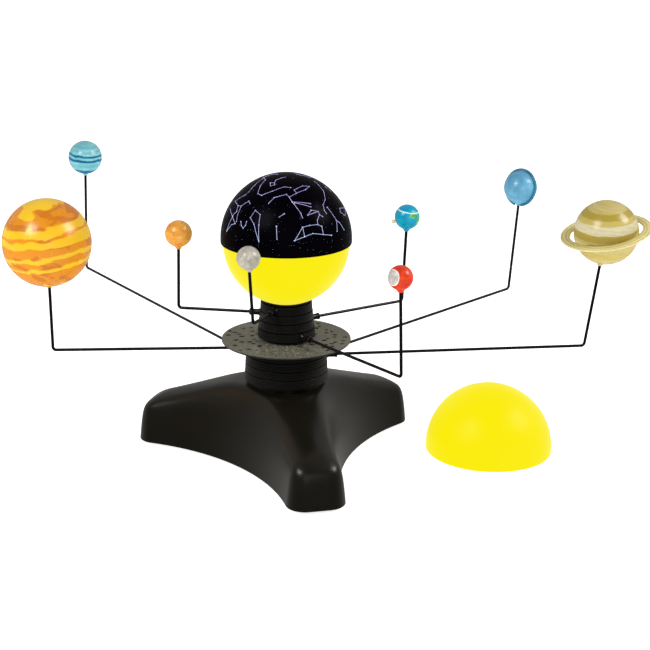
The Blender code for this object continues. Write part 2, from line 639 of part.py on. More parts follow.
def make_base():
    outline = leg_outline()
    rings = []
    for depth in WALL_ROWS:
        spots = [point - normal * depth * MM for point, normal in outline]
        rings.append([(*spot, shell_height(spot, outline)) for spot in spots])
    edge = [Vector(co[:2]) for co in rings[-1]]
    for share in TOP_ROWS:
        spots = [spot.lerp(spot.normalized() * NECK_RADIUS, share) for spot in edge]
        rings.append([(*spot, shell_height(spot, outline)) for spot in spots])
    for radius in (NECK_RADIUS, NECK_HOLE):
        rings.append([(*(spot.normalized() * radius), NECK_TOP_Z) for spot in edge])
    count = len(outline)
    faces = []
    for row in range(len(rings) - 1):
        for i in range(count):
            j = (i + 1) % count
            here, above = row * count, (row + 1) * count
            faces.append((here + i, here + j, above + j, above + i))
    mesh = bpy.data.meshes.new("base_housing")
    mesh.from_pydata([co for ring in rings for co in ring], [], faces)
    housing = place("base_housing", mesh, BLACK)
    shell = housing.modifiers.new("wall", "SOLIDIFY")
    shell.thickness = BASE_WALL
    shell.offset = -1.0
    shell.use_even_offset = True
    for number, bearing in enumerate(LEG_AZIMUTHS, 1):
        make_foot(housing, number, radians(bearing))
    middle = polar(BAY_RADIUS, SWITCH_AZIMUTH, SWITCH_Z)
    slot = box("switch_slot", (12 * MM, *SWITCH_SLOT), middle, None, SWITCH_AZIMUTH)
    combine(housing, slot, "DIFFERENCE")


def make_foot(housing, number, azimuth):
    """A screw post inside the leg, its screw, and the rubber pad under the cover."""
    spot = polar(POST_REACH, azimuth)
    here = (spot.x, spot.y)
    post = cylinder(f"post_{number}", POST_RADIUS, COVER_THICK + GAP, POST_TOP_Z, None, here, 12)
    hole = cylinder(f"post_hole_{number}", POST_HOLE_RADIUS, COVER_THICK / 2, POST_HOLE_TOP_Z, None, here, 10)
    combine(housing, post, "UNION")
    combine(housing, hole, "DIFFERENCE")
    head_foot, head_top = SCREW_HEAD_Z
    profile = (
        (0.0, SCREW_TOP_Z), (SCREW_RADIUS, SCREW_TOP_Z), (SCREW_RADIUS, head_top),
        (SCREW_HEAD_RADIUS, head_top), (SCREW_HEAD_RADIUS, head_foot), (0.0, head_foot),
    )
    turned(f"cover_screw_{number}", profile, STEEL, 12, Matrix.Translation(spot))
    pad = polar(PAD_REACH, azimuth)
    cylinder(f"foot_pad_{number}", PAD_RADIUS, FLOOR_Z, FLOOR_Z + PAD_THICK, RUBBER, (pad.x, pad.y), 20)


def make_cover():
    posts = [polar(POST_REACH, radians(bearing)).xy for bearing in LEG_AZIMUTHS]
    screw_holes = [circle(SCREW_HEAD_RADIUS + GAP, 12, tuple(spot)) for spot in posts]
    half_x, half_y = DOOR_SIZE[0] / 2 + GAP, DOOR_SIZE[1] / 2 + GAP
    doorway = [(-half_x, -half_y), (half_x, -half_y), (half_x, half_y), (-half_x, half_y)]
    outline = [tuple(point) for point, _ in leg_outline(COVER_INSET)]
    place("bottom_cover", outline_mesh("bottom_cover", (outline, doorway, *screw_holes), COVER_THICK), BLACK)
    box("battery_door", (*DOOR_SIZE, COVER_THICK), (0, 0, COVER_THICK / 2), BLACK)


def make_batteries():
    foot_z = COVER_THICK + 2 * GAP
    height = TRAY_TOP_Z - foot_z
    inside = (CELL_LENGTH + TRAY_PLAY[0], 3 * CELL_PITCH + TRAY_PLAY[1])
    size = (inside[0] + 2 * TRAY_WALL, inside[1] + 2 * TRAY_WALL, height)
    middle_z = (TRAY_TOP_Z + foot_z) / 2
    tray = box("battery_tray", size, (0, 0, middle_z), BLACK)
    cavity = box("tray_cavity", (*inside, height), (0, 0, middle_z - TRAY_WALL), None)
    combine(tray, cavity, "DIFFERENCE")
    end, shoulder = CELL_LENGTH / 2, CELL_LENGTH / 2 - CELL_NUB_LENGTH
    profile = (
        (0.0, end), (CELL_NUB_RADIUS, end), (CELL_NUB_RADIUS, shoulder),
        (CELL_RADIUS, shoulder), (CELL_RADIUS, -end), (0.0, -end),
    )
    label = material("battery_label", (0.30, 0.30, 0.32), 0.35, 0.3)
    for number in (1, 2, 3):
        facing = pi / 2 if number != 2 else -pi / 2
        stand = Matrix.Translation((0, (number - 2) * CELL_PITCH, CELL_Z)) @ Matrix.Rotation(facing, 4, "Y")
        turned(f"battery_{number}", profile, label, 14, stand)


def make_switch():
    """The slide button stands through the slot of the housing, on the switch body behind it."""
    depth, body_depth = SWITCH_BUTTON[0], SWITCH_BODY[0]
    middle = polar(BAY_RADIUS - depth / 2, SWITCH_AZIMUTH, SWITCH_Z)
    box("power_switch", SWITCH_BUTTON, middle, DARK, SWITCH_AZIMUTH)
    middle = polar(BAY_RADIUS - depth - GAP - body_depth / 2, SWITCH_AZIMUTH, SWITCH_Z)
    box("switch_body", SWITCH_BODY, middle, DARK, SWITCH_AZIMUTH)


make_base()
make_cover()
make_batteries()
make_switch()
make_drive()
make_core()
make_disc()
make_pinion_stack()
make_worlds()
make_domes()
make_lamp()
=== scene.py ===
"""The looks of the orrery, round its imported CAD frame. Metres, +Z up, with the column on the Z axis."""

import json
import random
from math import acos, atan2, cos, pi, radians, sin, sqrt

import bmesh
import bpy
import numpy as np
from mathutils import Matrix, Vector


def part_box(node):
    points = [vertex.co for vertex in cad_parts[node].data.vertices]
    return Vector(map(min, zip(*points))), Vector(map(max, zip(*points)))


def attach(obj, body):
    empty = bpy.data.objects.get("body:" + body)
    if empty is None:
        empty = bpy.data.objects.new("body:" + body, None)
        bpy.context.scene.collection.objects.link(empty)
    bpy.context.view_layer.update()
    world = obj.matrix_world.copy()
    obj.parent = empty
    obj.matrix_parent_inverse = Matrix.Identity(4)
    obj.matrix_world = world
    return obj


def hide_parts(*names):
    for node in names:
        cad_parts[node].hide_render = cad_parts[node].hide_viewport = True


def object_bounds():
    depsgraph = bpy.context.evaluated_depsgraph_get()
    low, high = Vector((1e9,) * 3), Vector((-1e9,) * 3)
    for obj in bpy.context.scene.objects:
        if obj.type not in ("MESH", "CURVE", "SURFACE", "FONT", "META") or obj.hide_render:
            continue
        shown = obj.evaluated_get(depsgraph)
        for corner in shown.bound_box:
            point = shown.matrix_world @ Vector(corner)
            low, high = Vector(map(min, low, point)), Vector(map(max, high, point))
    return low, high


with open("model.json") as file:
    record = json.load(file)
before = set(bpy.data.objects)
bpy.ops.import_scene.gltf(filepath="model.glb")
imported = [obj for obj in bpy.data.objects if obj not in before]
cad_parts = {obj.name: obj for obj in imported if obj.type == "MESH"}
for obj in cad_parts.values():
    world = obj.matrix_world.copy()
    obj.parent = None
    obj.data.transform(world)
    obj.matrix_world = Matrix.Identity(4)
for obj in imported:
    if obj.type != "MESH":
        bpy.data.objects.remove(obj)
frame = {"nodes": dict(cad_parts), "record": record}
CAD_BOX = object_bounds()
NODES = frame["nodes"]

MM = 0.001
UP = Vector((0, 0, 1))
WORLDS = ("mercury", "venus", "earth", "mars", "jupiter", "saturn", "uranus", "neptune")
HOME = {node: body for body, nodes in frame["record"]["behaviour"]["bodies"].items() for node in nodes}
SLOTS = {row["node"]: row["material_slot"] for row in frame["record"]["subparts"]}
FLOOR_Z = CAD_BOX[0].z

# Camera: the viewing angle, as bearings from the column's axis.
CAMERA_PLACE = (-0.0004, -1.2337, 0.5092)
CAMERA_DOWN = radians(17.76)
CAMERA_RIGHT = radians(1.546)
CAMERA_ROLL = radians(0.45)
CAMERA_LENS = 84.35
VIEW_ELEVATION = radians(19.5)

# The disc's plain lies this far under its highest boulders.
PLAIN_DROP = 0.3 * MM


# ---------------------------------------------------------------- materials

# The Mix node's sockets for colours: its float and vector sockets have the same names.
MIX_FIRST, MIX_SECOND, MIX_RESULT = 6, 7, 2


class Skin:
    """A Principled material with short names for the nodes that the finishes use."""

    def __init__(self, name, colour, roughness=0.4, metallic=0.0, specular=0.5):
        self.material = bpy.data.materials.new(name)
        self.material.use_nodes = True
        self.tree = self.material.node_tree
        self.shader = self.tree.nodes["Principled BSDF"]
        self.place = None
        self.paint(colour)
        self.set("Roughness", roughness)
        self.set("Metallic", metallic)
        self.set("Specular IOR Level", specular)

    def feed(self, socket, value):
        """Links another node's output to the socket, or sets the socket's own value."""
        if isinstance(value, bpy.types.NodeSocket):
            self.tree.links.new(value, socket)
        elif socket.type == "RGBA":
            socket.default_value = (*value, 1.0)
        else:
            socket.default_value = value

    def fill(self, made, **inputs):
        """Feeds a node's sockets by name, with _ for a space."""
        for name, value in inputs.items():
            self.feed(made.inputs[name.replace("_", " ")], value)

    def set(self, name, value):
        self.feed(self.shader.inputs[name], value)

    def paint(self, colour):
        self.set("Base Color", colour)

    def roughen(self, value, slope, start):
        self.set("Roughness", self.line(value, slope, start))

    def glow(self, colour, strength):
        self.set("Emission Color", colour)
        self.set("Emission Strength", strength)

    def node(self, kind, *inputs, **settings):
        made = self.tree.nodes.new(kind)
        for key, value in settings.items():
            setattr(made, key, value)
        for socket, value in zip(made.inputs, inputs):
            self.feed(socket, value)
        return made

    def coords(self):
        if self.place is None:
            self.place = self.node("ShaderNodeTexCoord").outputs["Object"]
        return self.place

    def coord(self, axis):
        return self.node("ShaderNodeSeparateXYZ", self.coords()).outputs[axis]

    def stretch(self, scale, turn=(0.0, 0.0, 0.0)):
        made = self.node("ShaderNodeMapping", self.coords())
        self.fill(made, Scale=scale, Rotation=turn)
        return made.outputs[0]

    def noise(self, scale, detail=3.0, rough=0.5, warp=0.0, vector=None):
        made = self.node("ShaderNodeTexNoise", vector or self.coords())
        self.fill(made, Scale=scale, Detail=detail, Roughness=rough, Distortion=warp)
        return made.outputs["Fac"]

    def math(self, operation, a, b=0.0, c=0.0):
        return self.node("ShaderNodeMath", a, b, c, operation=operation).outputs[0]

    def line(self, value, slope, start):
        return self.math("MULTIPLY_ADD", value, slope, start)

    def step(self, value, low, high):
        """0 below low, 1 above high, and smooth between."""
        made = self.node("ShaderNodeMapRange", interpolation_type="SMOOTHSTEP")
        self.fill(made, Value=value, From_Min=low, From_Max=high)
        return made.outputs["Result"]

    def mix(self, share, first, second, most=None):
        """From the first colour at share 0 to the second at share 1, or only that much of it."""
        if most is not None:
            share = self.math("MULTIPLY", share, most)
        made = self.node("ShaderNodeMix", data_type="RGBA")
        self.feed(made.inputs["Factor"], share)
        self.feed(made.inputs[MIX_FIRST], first)
        self.feed(made.inputs[MIX_SECOND], second)
        return made.outputs[MIX_RESULT]

    def ramp(self, value, *stops):
        made = self.node("ShaderNodeValToRGB", value)
        ramp = made.color_ramp
        while len(ramp.elements) < len(stops):
            ramp.elements.new(0.5)
        for element, (at, colour) in zip(ramp.elements, stops):
            element.position = at
            element.color = (*colour, 1.0)
        return made.outputs[0]

    def along(self, direction):
        """The share of the object-space direction from the centre that lies along this one: -1 to 1."""
        unit = self.node("ShaderNodeVectorMath", self.coords(), operation="NORMALIZE").outputs[0]
        dot = self.node("ShaderNodeVectorMath", unit, tuple(direction), operation="DOT_PRODUCT")
        return dot.outputs["Value"]

    def spot(self, direction, angle, wobble, scale, edge):
        """1 inside a round patch of that half-angle, with a wavy edge, and 0 outside."""
        near = self.along(Vector(direction).normalized())
        waves = self.line(self.noise(scale, 2.0), wobble, -wobble / 2)
        reach = cos(radians(angle))
        return self.step(self.math("ADD", near, waves), reach - edge, reach + edge)

    def bump(self, height, strength, depth):
        made = self.node("ShaderNodeBump")
        self.fill(made, Strength=strength, Distance=depth, Height=height)
        self.set("Normal", made.outputs[0])


def facing(right, up):
    """The way to a spot on a globe, by how far right and up of its middle it looks from the front, in radii."""
    near = sqrt(max(0.0, 1 - right * right - up * up))
    return Vector((
        right,
        up * sin(VIEW_ELEVATION) - near * cos(VIEW_ELEVATION),
        up * cos(VIEW_ELEVATION) + near * sin(VIEW_ELEVATION),
    ))


def srgb(red, green, blue):
    """A display colour, 0 to 255 each, as the linear one that the shader takes."""
    def linear(value):
        value /= 255
        return value / 12.92 if value <= 0.04045 else ((value + 0.055) / 1.055) ** 2.4
    return linear(red), linear(green), linear(blue)


def moulded(name, colour, roughness):
    """Injection-moulded plastic: a fine spark-eroded grain and a slow drift of gloss."""
    skin = Skin(name, colour, specular=0.35)
    skin.roughen(skin.noise(18.0), 0.16, roughness - 0.08)
    dust = skin.step(skin.noise(420.0, 4.0, 0.7), 0.62, 0.86)
    skin.paint(skin.mix(dust, colour, tuple(min(1.0, c * 1.8 + 0.002) for c in colour), 0.3))
    skin.bump(skin.noise(1800.0, 2.0, 0.6), 0.25, 0.00006)
    return skin.material


def turned_plastic(name, colour, roughness):
    """Black column plastic, whose fine turning lines run round the axis."""
    skin = Skin(name, colour, specular=0.3)
    lines = skin.noise(1.0, 3.0, 0.6, vector=skin.stretch((14.0, 14.0, 2600.0)))
    skin.roughen(lines, 0.24, roughness - 0.1)
    skin.paint(skin.mix(skin.step(lines, 0.52, 0.75), colour, tuple(c * 1.8 for c in colour)))
    skin.bump(lines, 0.4, 0.00008)
    return skin.material


def painted_wire():
    black = srgb(13, 9, 16)
    skin = Skin("wire_black", black, specular=0.3)
    wear = skin.step(skin.noise(260.0, 5.0, 0.7), 0.66, 0.8)
    skin.paint(skin.mix(wear, black, srgb(48, 42, 50), 0.4))
    skin.roughen(wear, 0.2, 0.3)
    skin.bump(skin.noise(900.0, 2.0), 0.2, 0.00005)
    return skin.material


def sun_glow():
    """Translucent plastic lit from inside, an even glow paler where light pools; painted glow on the spare
    dome.
    """
    yellow = srgb(252, 237, 0)
    skin = Skin("sun_glow", tuple(c * 0.03 for c in yellow), 0.4, specular=0.10)
    pool = skin.step(skin.noise(26.0), 0.35, 0.75)
    # On the spare dome, which has no lamp under it, this glow and its paler pools are painted light.
    skin.glow(skin.mix(pool, yellow, srgb(253, 240, 30), 0.3), 0.96)
    skin.set("Sheen Weight", 0.3)
    skin.set("Sheen Roughness", 0.35)
    skin.set("Sheen Tint", (1.0, 1.0, 0.9))
    skin.bump(skin.noise(700.0, 2.0), 0.12, 0.00004)
    return skin.material


def glossy_paint(skin):
    """The planets' finish: gloss lacquer with a faint orange peel."""
    skin.roughen(skin.noise(140.0), 0.12, 0.20)
    skin.set("Specular IOR Level", 0.45)
    skin.bump(skin.noise(420.0, 2.0), 0.08, 0.00005)
    return skin.material


def mottled(name, colour, noise, *stops, **finish):
    """A skin whose colour follows one noise."""
    skin = Skin(name, colour, **finish)
    skin.paint(skin.ramp(skin.noise(*noise), *stops))
    return skin


def band_mask(skin, level, bands, edge=0.012):
    """1 inside each (low, high) stretch of a level from -1 to 1, and 0 outside."""
    black, white = (0.0, 0.0, 0.0), (1.0, 1.0, 1.0)
    stops = []
    for low, high in bands:
        low, high, half = low / 2 + 0.5, high / 2 + 0.5, edge / 2
        stops += [(low - half, black), (low + half, white), (high - half, white), (high + half, black)]
    return skin.ramp(skin.line(level, 0.5, 0.5), *stops)


def banded(skin, axis, squeeze, warp, scale, detail):
    """Noise drawn out into bands square to the axis."""
    turn = Vector(axis).rotation_difference(UP).to_euler()
    return skin.noise(scale, detail, 0.55, warp, skin.stretch((1.0, 1.0, squeeze), turn))


def swayed(skin, axis, sway, scale, squeeze, detail):
    """The level along an axis, -1 to 1 from pole to pole, bent by drawn-out noise."""
    noise = banded(skin, axis, squeeze, 0.6, scale, detail)
    return skin.math("ADD", skin.along(axis), skin.line(noise, 2 * sway, -sway))


def mercury_paint():
    skin = Skin("mercury_paint", srgb(200, 194, 178))
    mottle = skin.ramp(
        skin.noise(150.0, 5.0, 0.65, 0.6),
        (0.30, srgb(158, 152, 138)), (0.52, srgb(186, 180, 166)), (0.72, srgb(206, 202, 190)),
    )
    shade = skin.spot(facing(0.42, -0.42), 22, 0.9, 190.0, 0.12)
    colour = skin.mix(shade, mottle, srgb(128, 132, 112), 0.6)
    pits = skin.step(skin.noise(260.0, 2.0), 0.64, 0.70)
    skin.paint(skin.mix(pits, colour, srgb(128, 120, 102), 0.5))
    return glossy_paint(skin)


def venus_paint():
    skin = Skin("venus_paint", srgb(232, 160, 64))
    cloud = skin.noise(1.0, 4.0, 0.6, 1.2, skin.stretch((70.0, 70.0, 150.0), (0.0, 0.4, 0.0)))
    skin.paint(skin.ramp(
        cloud, (0.34, srgb(218, 138, 44)), (0.46, srgb(228, 154, 58)), (0.58, srgb(236, 170, 76)),
        (0.70, srgb(242, 190, 104)),
    ))
    return glossy_paint(skin)


def earth_paint():
    skin = Skin("earth_paint", srgb(0, 150, 190))
    sea = skin.ramp(skin.noise(90.0), (0.35, srgb(0, 146, 190)), (0.65, srgb(0, 176, 208)))
    land = skin.spot(facing(0.45, 0.02), 17, 0.25, 190.0, 0.01)
    for place, reach in ((facing(0.76, -0.52), 20), ((0.3, 0.9, 0.25), 46), ((-0.9, 0.3, -0.3), 28)):
        land = skin.math("MAXIMUM", land, skin.spot(place, reach, 0.45, 130.0, 0.012))
    ground = skin.ramp(
        skin.noise(240.0), (0.4, srgb(24, 150, 96)), (0.62, srgb(96, 184, 92)), (0.7, srgb(214, 206, 150)),
    )
    wave = skin.line(skin.noise(120.0, 2.0), 0.05, -0.025)
    level = skin.math("ADD", skin.along((0.10, -0.09, 0.99)), wave)
    cloud = band_mask(skin, level, ((0.52, 0.605),), 0.014)
    skin.paint(skin.mix(cloud, skin.mix(land, sea, ground), srgb(226, 240, 244)))
    return glossy_paint(skin)


def mars_paint():
    skin = Skin("mars_paint", srgb(226, 66, 30))
    white = srgb(240, 232, 226)
    red = skin.ramp(
        skin.noise(110.0, 4.0, 0.6, 0.8),
        (0.35, srgb(200, 44, 14)), (0.55, srgb(224, 62, 22)), (0.72, srgb(240, 98, 40)),
    )
    rim = skin.spot(facing(-0.76, -0.05), 41, 0.06, 120.0, 0.012)
    inner = skin.spot(facing(-0.76, -0.05), 36, 0.08, 140.0, 0.015)
    chalk = skin.ramp(skin.noise(300.0), (0.4, srgb(178, 172, 168)), (0.65, srgb(206, 200, 196)))
    colour = skin.mix(inner, skin.mix(rim, red, white), chalk)
    south = skin.spot((0.35, 0.6, -0.6), 24, 0.4, 120.0, 0.02)
    skin.paint(skin.mix(south, colour, white))
    return glossy_paint(skin)


def jupiter_paint():
    skin = Skin("jupiter_paint", srgb(246, 204, 52))
    axis = Vector((-0.12, -0.02, 0.99)).normalized()
    level = swayed(skin, axis, 0.16, 40.0, 2.2, 4.0)
    main = band_mask(skin, level, ((-0.36, -0.22), (-0.12, 0.10), (0.27, 0.34)))
    blobs = skin.step(skin.noise(34.0, 2.0), 0.40, 0.44)
    north = skin.math("MULTIPLY", band_mask(skin, level, ((0.52, 0.90),)), blobs)
    streaks = skin.step(banded(skin, axis, 3.0, 0.5, 28.0, 3.0), 0.36, 0.39)
    south = skin.math("MULTIPLY", band_mask(skin, level, ((-0.99, -0.44),)), streaks)
    deep = skin.step(banded(skin, axis, 2.4, 1.0, 40.0, 3.0), 0.50, 0.56)
    orange = skin.mix(deep, srgb(226, 142, 28), srgb(206, 120, 26))
    ground = skin.ramp(skin.noise(18.0, 2.0), (0.35, srgb(246, 200, 26)), (0.65, srgb(240, 188, 38)))
    mask = skin.math("MAXIMUM", skin.math("MAXIMUM", main, north), south)
    skin.paint(skin.mix(mask, ground, orange))
    return glossy_paint(skin)


SATURN_AXIS = Vector((-0.188, -0.131, 0.971)).normalized()


def saturn_paint():
    skin = Skin("saturn_paint", srgb(210, 190, 110))
    level = skin.line(swayed(skin, SATURN_AXIS, 0.045, 40.0, 3.0, 3.0), 0.5, 0.5)
    pale, gold = srgb(220, 210, 172), srgb(202, 182, 100)
    olive, sand = srgb(176, 154, 62), srgb(204, 188, 128)
    colour = skin.ramp(
        level, (0.0, sand), (0.19, sand), (0.20, gold), (0.31, gold), (0.33, sand), (0.49, sand),
        (0.51, olive), (0.605, olive), (0.62, pale), (0.735, pale), (0.75, gold), (0.81, gold),
        (0.825, olive), (0.895, olive), (0.905, gold), (0.95, sand), (1.0, gold),
    )
    streak = skin.step(banded(skin, SATURN_AXIS, 14.0, 0.3, 60.0, 4.0), 0.5, 0.62)
    skin.paint(skin.mix(streak, colour, srgb(166, 150, 76), 0.25))
    return glossy_paint(skin)


def saturn_ring_paint():
    """Concentric bands on the ring, by distance from its middle."""
    skin = Skin("saturn_ring_paint", srgb(205, 190, 120))
    length = skin.node("ShaderNodeVectorMath", skin.coords(), operation="LENGTH").outputs["Value"]
    share = skin.node("ShaderNodeMapRange")
    skin.fill(share, Value=length, From_Min=0.028, From_Max=0.0395)
    lines = skin.noise(1400.0, 2.0, vector=skin.node("ShaderNodeCombineXYZ", length).outputs[0])
    colour = skin.ramp(
        share.outputs[0], (0.0, srgb(176, 154, 78)), (0.2, srgb(206, 186, 104)), (0.42, srgb(236, 222, 152)),
        (0.55, srgb(212, 192, 108)), (0.70, srgb(240, 228, 162)), (0.82, srgb(220, 202, 124)),
        (0.94, srgb(242, 232, 176)), (1.0, srgb(216, 196, 118)),
    )
    skin.paint(skin.mix(skin.step(lines, 0.5, 0.62), colour, srgb(164, 146, 76), 0.4))
    return glossy_paint(skin)


def uranus_paint():
    return glossy_paint(mottled(
        "uranus_paint", srgb(98, 165, 202), (60.0, 3.0, 0.5, 0.5),
        (0.35, srgb(84, 150, 190)), (0.55, srgb(104, 170, 206)), (0.72, srgb(134, 190, 218)),
    ))


def uranus_ring_paint():
    return glossy_paint(mottled(
        "uranus_ring_paint", srgb(70, 130, 165), (120.0,),
        (0.4, srgb(50, 124, 152)), (0.65, srgb(80, 156, 182)),
    ))


def neptune_paint():
    skin = Skin("neptune_paint", srgb(150, 208, 214))
    axis = Vector((0.03, -0.02, 1.0)).normalized()
    level = swayed(skin, axis, 0.11, 75.0, 1.6, 2.0)
    ground = skin.ramp(skin.noise(80.0), (0.35, srgb(112, 186, 196)), (0.65, srgb(146, 206, 210)))
    faint = band_mask(skin, level, ((-0.42, -0.26), (0.45, 0.56), (0.68, 0.80)), 0.03)
    dark = band_mask(skin, level, ((-0.99, -0.62), (-0.11, 0.06), (0.20, 0.33)), 0.02)
    teal = skin.ramp(skin.noise(150.0), (0.4, srgb(0, 96, 144)), (0.65, srgb(8, 120, 164)))
    skin.paint(skin.mix(dark, skin.mix(faint, ground, srgb(84, 172, 194), 0.55), teal))
    return glossy_paint(skin)


def moon_paint():
    return glossy_paint(mottled(
        "moon_paint", srgb(228, 218, 190), (700.0,), (0.4, srgb(206, 192, 160)), (0.6, srgb(238, 230, 208)),
    ))


def asteroid_grey():
    """Cast rock: mid grey; painted shade near black in the pits, a pale painted highlight on the boulders'
    tops.
    """
    grey = srgb(96, 94, 86)
    skin = Skin("asteroid_grey", grey, specular=0.3)
    rock = skin.noise(620.0, 5.0, 0.7)
    colour = skin.ramp(rock, (0.30, srgb(66, 65, 58)), (0.50, grey), (0.72, srgb(134, 132, 124)))
    colour = skin.mix(skin.step(skin.noise(90.0), 0.4, 0.7), colour, srgb(96, 98, 90), 0.3)
    height = skin.coord("Z")
    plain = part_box("asteroid_disc")[1].z - PLAIN_DROP
    # Painted shade: the colour goes near black down in the pits, below the plain.
    shaded_pit = skin.step(height, plain - 0.12 * MM, plain - 0.5 * MM)
    # Painted highlight: the boulders' tops, above the plain, are paled.
    peak_highlight = skin.step(height, plain + 0.08 * MM, plain + 0.28 * MM)
    colour = skin.mix(shaded_pit, colour, srgb(30, 33, 29), 0.9)
    skin.paint(skin.mix(peak_highlight, colour, srgb(176, 176, 168), 0.55))
    skin.roughen(rock, 0.3, 0.22)
    skin.bump(rock, 0.6, 0.0003)
    return skin.material


def star_black():
    black = srgb(3, 2, 6)
    skin = Skin("star_black", black, specular=0.015)
    haze = skin.step(skin.noise(30.0, 5.0, 0.65), 0.55, 0.8)
    skin.paint(skin.mix(haze, black, srgb(12, 7, 22), 0.5))
    skin.roughen(haze, 0.1, 0.3)
    skin.bump(skin.noise(500.0, 2.0), 0.05, 0.00004)
    return skin.material


def star_light():
    """See-through ink: violet, bluer and brighter towards the rim."""
    skin = Skin("star_light", srgb(60, 50, 90), specular=0.1)
    rise = skin.step(skin.coord("Z"), SUN_CENTRE_Z + 0.004, SUN_CENTRE_Z + 0.036)
    violet = skin.mix(rise, srgb(190, 225, 255), srgb(176, 160, 226))
    twinkle = skin.step(skin.noise(260.0, 2.0), 0.45, 0.7)
    skin.glow(skin.mix(twinkle, violet, srgb(222, 216, 252)), 1.15)
    return skin.material


def plated_steel():
    skin = Skin("plated_steel", (0.62, 0.61, 0.58), metallic=1.0)
    brush = skin.noise(1.0, vector=skin.stretch((900.0, 900.0, 60.0)))
    skin.roughen(brush, 0.25, 0.18)
    skin.bump(brush, 0.15, 0.00004)
    return skin.material


def acetal():
    skin = mottled(
        "gear_white", srgb(226, 222, 208), (120.0,),
        (0.4, srgb(214, 210, 194)), (0.6, srgb(232, 228, 214)), roughness=0.35,
    )
    skin.set("Subsurface Weight", 0.15)
    skin.set("Subsurface Radius", (0.004, 0.003, 0.002))
    skin.bump(skin.noise(800.0, 2.0), 0.15, 0.00004)
    return skin.material


def battery_sleeve():
    """A plain printed sleeve: grey, with a copper-coloured band at one end."""
    skin = Skin("battery_sleeve", srgb(60, 62, 70), 0.3, metallic=0.4)
    band = skin.step(skin.math("ABSOLUTE", skin.coord("X")), 0.0165, 0.0168)
    scuff = skin.step(skin.noise(300.0, 4.0), 0.6, 0.8)
    colour = skin.mix(band, srgb(58, 60, 68), srgb(190, 120, 60))
    skin.paint(skin.mix(scuff, colour, srgb(140, 140, 146), 0.3))
    return skin.material


def rubber():
    skin = mottled(
        "pad_rubber", srgb(34, 34, 34), (300.0, 4.0),
        (0.4, srgb(28, 28, 28)), (0.7, srgb(52, 51, 49)), roughness=0.85,
    )
    skin.bump(skin.noise(1500.0), 0.5, 0.0001)
    return skin.material


def circuit_green():
    skin = Skin("circuit_green", srgb(20, 96, 52), 0.35)
    tracks = skin.step(skin.noise(1.0, 1.0, vector=skin.stretch((500.0, 90.0, 1.0))), 0.52, 0.55)
    skin.paint(skin.mix(tracks, srgb(14, 84, 44), srgb(40, 130, 72)))
    return skin.material


def lamp_clear():
    skin = Skin("lamp_clear", (1.0, 0.95, 0.8), 0.1)
    skin.glow((1.0, 0.93, 0.7), 2.0)
    return skin.material


# ---------------------------------------------------------------- shapes

def polar(radius, angle, z=0.0):
    return Vector((radius * cos(angle), radius * sin(angle), z))


def points_of(node):
    return np.array([v.co for v in NODES[node].data.vertices], float)


def globe_of(node):
    """(centre, radius) of the ball in a planet's node, found from its upper points."""
    co = points_of(node)
    top, low = co.max(0), co.min(0)
    radius = (top[0] - low[0] + top[1] - low[1]) / 4
    centre = np.array([(top[0] + low[0]) / 2, (top[1] + low[1]) / 2, top[2] - radius])
    for _ in range(4):
        apart = np.linalg.norm(co - centre, axis=1)
        ball = co[(abs(apart - radius) < 0.6 * MM) & (co[:, 2] > centre[2] - 0.5 * radius)]
        rows = np.c_[2 * ball, np.ones(len(ball))]
        found = np.linalg.lstsq(rows, (ball**2).sum(1), rcond=None)[0]
        centre = found[:3]
        radius = sqrt(found[3] + centre @ centre)
    return Vector(centre), radius


CREASE = 40


def link(made):
    bpy.context.scene.collection.objects.link(made)


def upright_to(way):
    """The turn that takes +Z to this direction."""
    return UP.rotation_difference(way).to_matrix().to_4x4()


def mesh_from(shape, name, crease):
    """The bmesh as a mesh: flat, or smooth with creases where faces meet at more than this many degrees."""
    mesh = bpy.data.meshes.new(name)
    shape.to_mesh(mesh)
    shape.free()
    if crease:
        smooth(mesh, crease)
    return mesh


def smooth(mesh, crease):
    mesh.shade_smooth()
    mesh.set_sharp_from_angle(angle=radians(crease))


def bridge(shape, first, second):
    """Faces between two rings of vertices, for a second ring that lies above, inside or further along."""
    for i in range(len(first)):
        j = (i + 1) % len(first)
        shape.faces.new((first[i], first[j], second[j], second[i]))


def bridge_down(shape, upper, lower):
    """The same, turned the other way, for a second ring that lies below the first or outside it."""
    for i in range(len(upper)):
        j = (i + 1) % len(upper)
        shape.faces.new((upper[i], lower[i], lower[j], upper[j]))


def add_piece(name, mesh, skin, body, slot_name, *stands_for, matrix=None):
    """Links a piece, lets it ride on its body, and hides the CAD nodes that it stands for."""
    made = bpy.data.objects.new(name, mesh)
    link(made)
    if matrix is not None:
        made.matrix_world = matrix
    mesh.materials.append(skin)
    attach(made, body)
    if stands_for:
        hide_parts(*stands_for)
    return made


def ring_at(shape, radius, z, sides):
    return [shape.verts.new(polar(radius, 2 * pi * i / sides, z)) for i in range(sides)]


def turned_mesh(name, profile, sides, closed=False):
    """A profile of (radius, z), outer side first from top to bottom, turned about Z into a smooth mesh."""
    shape = bmesh.new()
    rings = [[shape.verts.new((0.0, 0.0, z))] if radius < 1e-7 else ring_at(shape, radius, z, sides)
             for radius, z in profile]
    for upper, lower in list(zip(rings, rings[1:])) + ([(rings[-1], rings[0])] if closed else []):
        if len(upper) == len(lower) == sides:
            bridge_down(shape, upper, lower)
        elif len(upper) == sides:
            for i in range(sides):
                shape.faces.new((upper[i], lower[0], upper[(i + 1) % sides]))
        elif len(lower) == sides:
            for i in range(sides):
                shape.faces.new((upper[0], lower[i], lower[(i + 1) % sides]))
    return mesh_from(shape, name, CREASE)


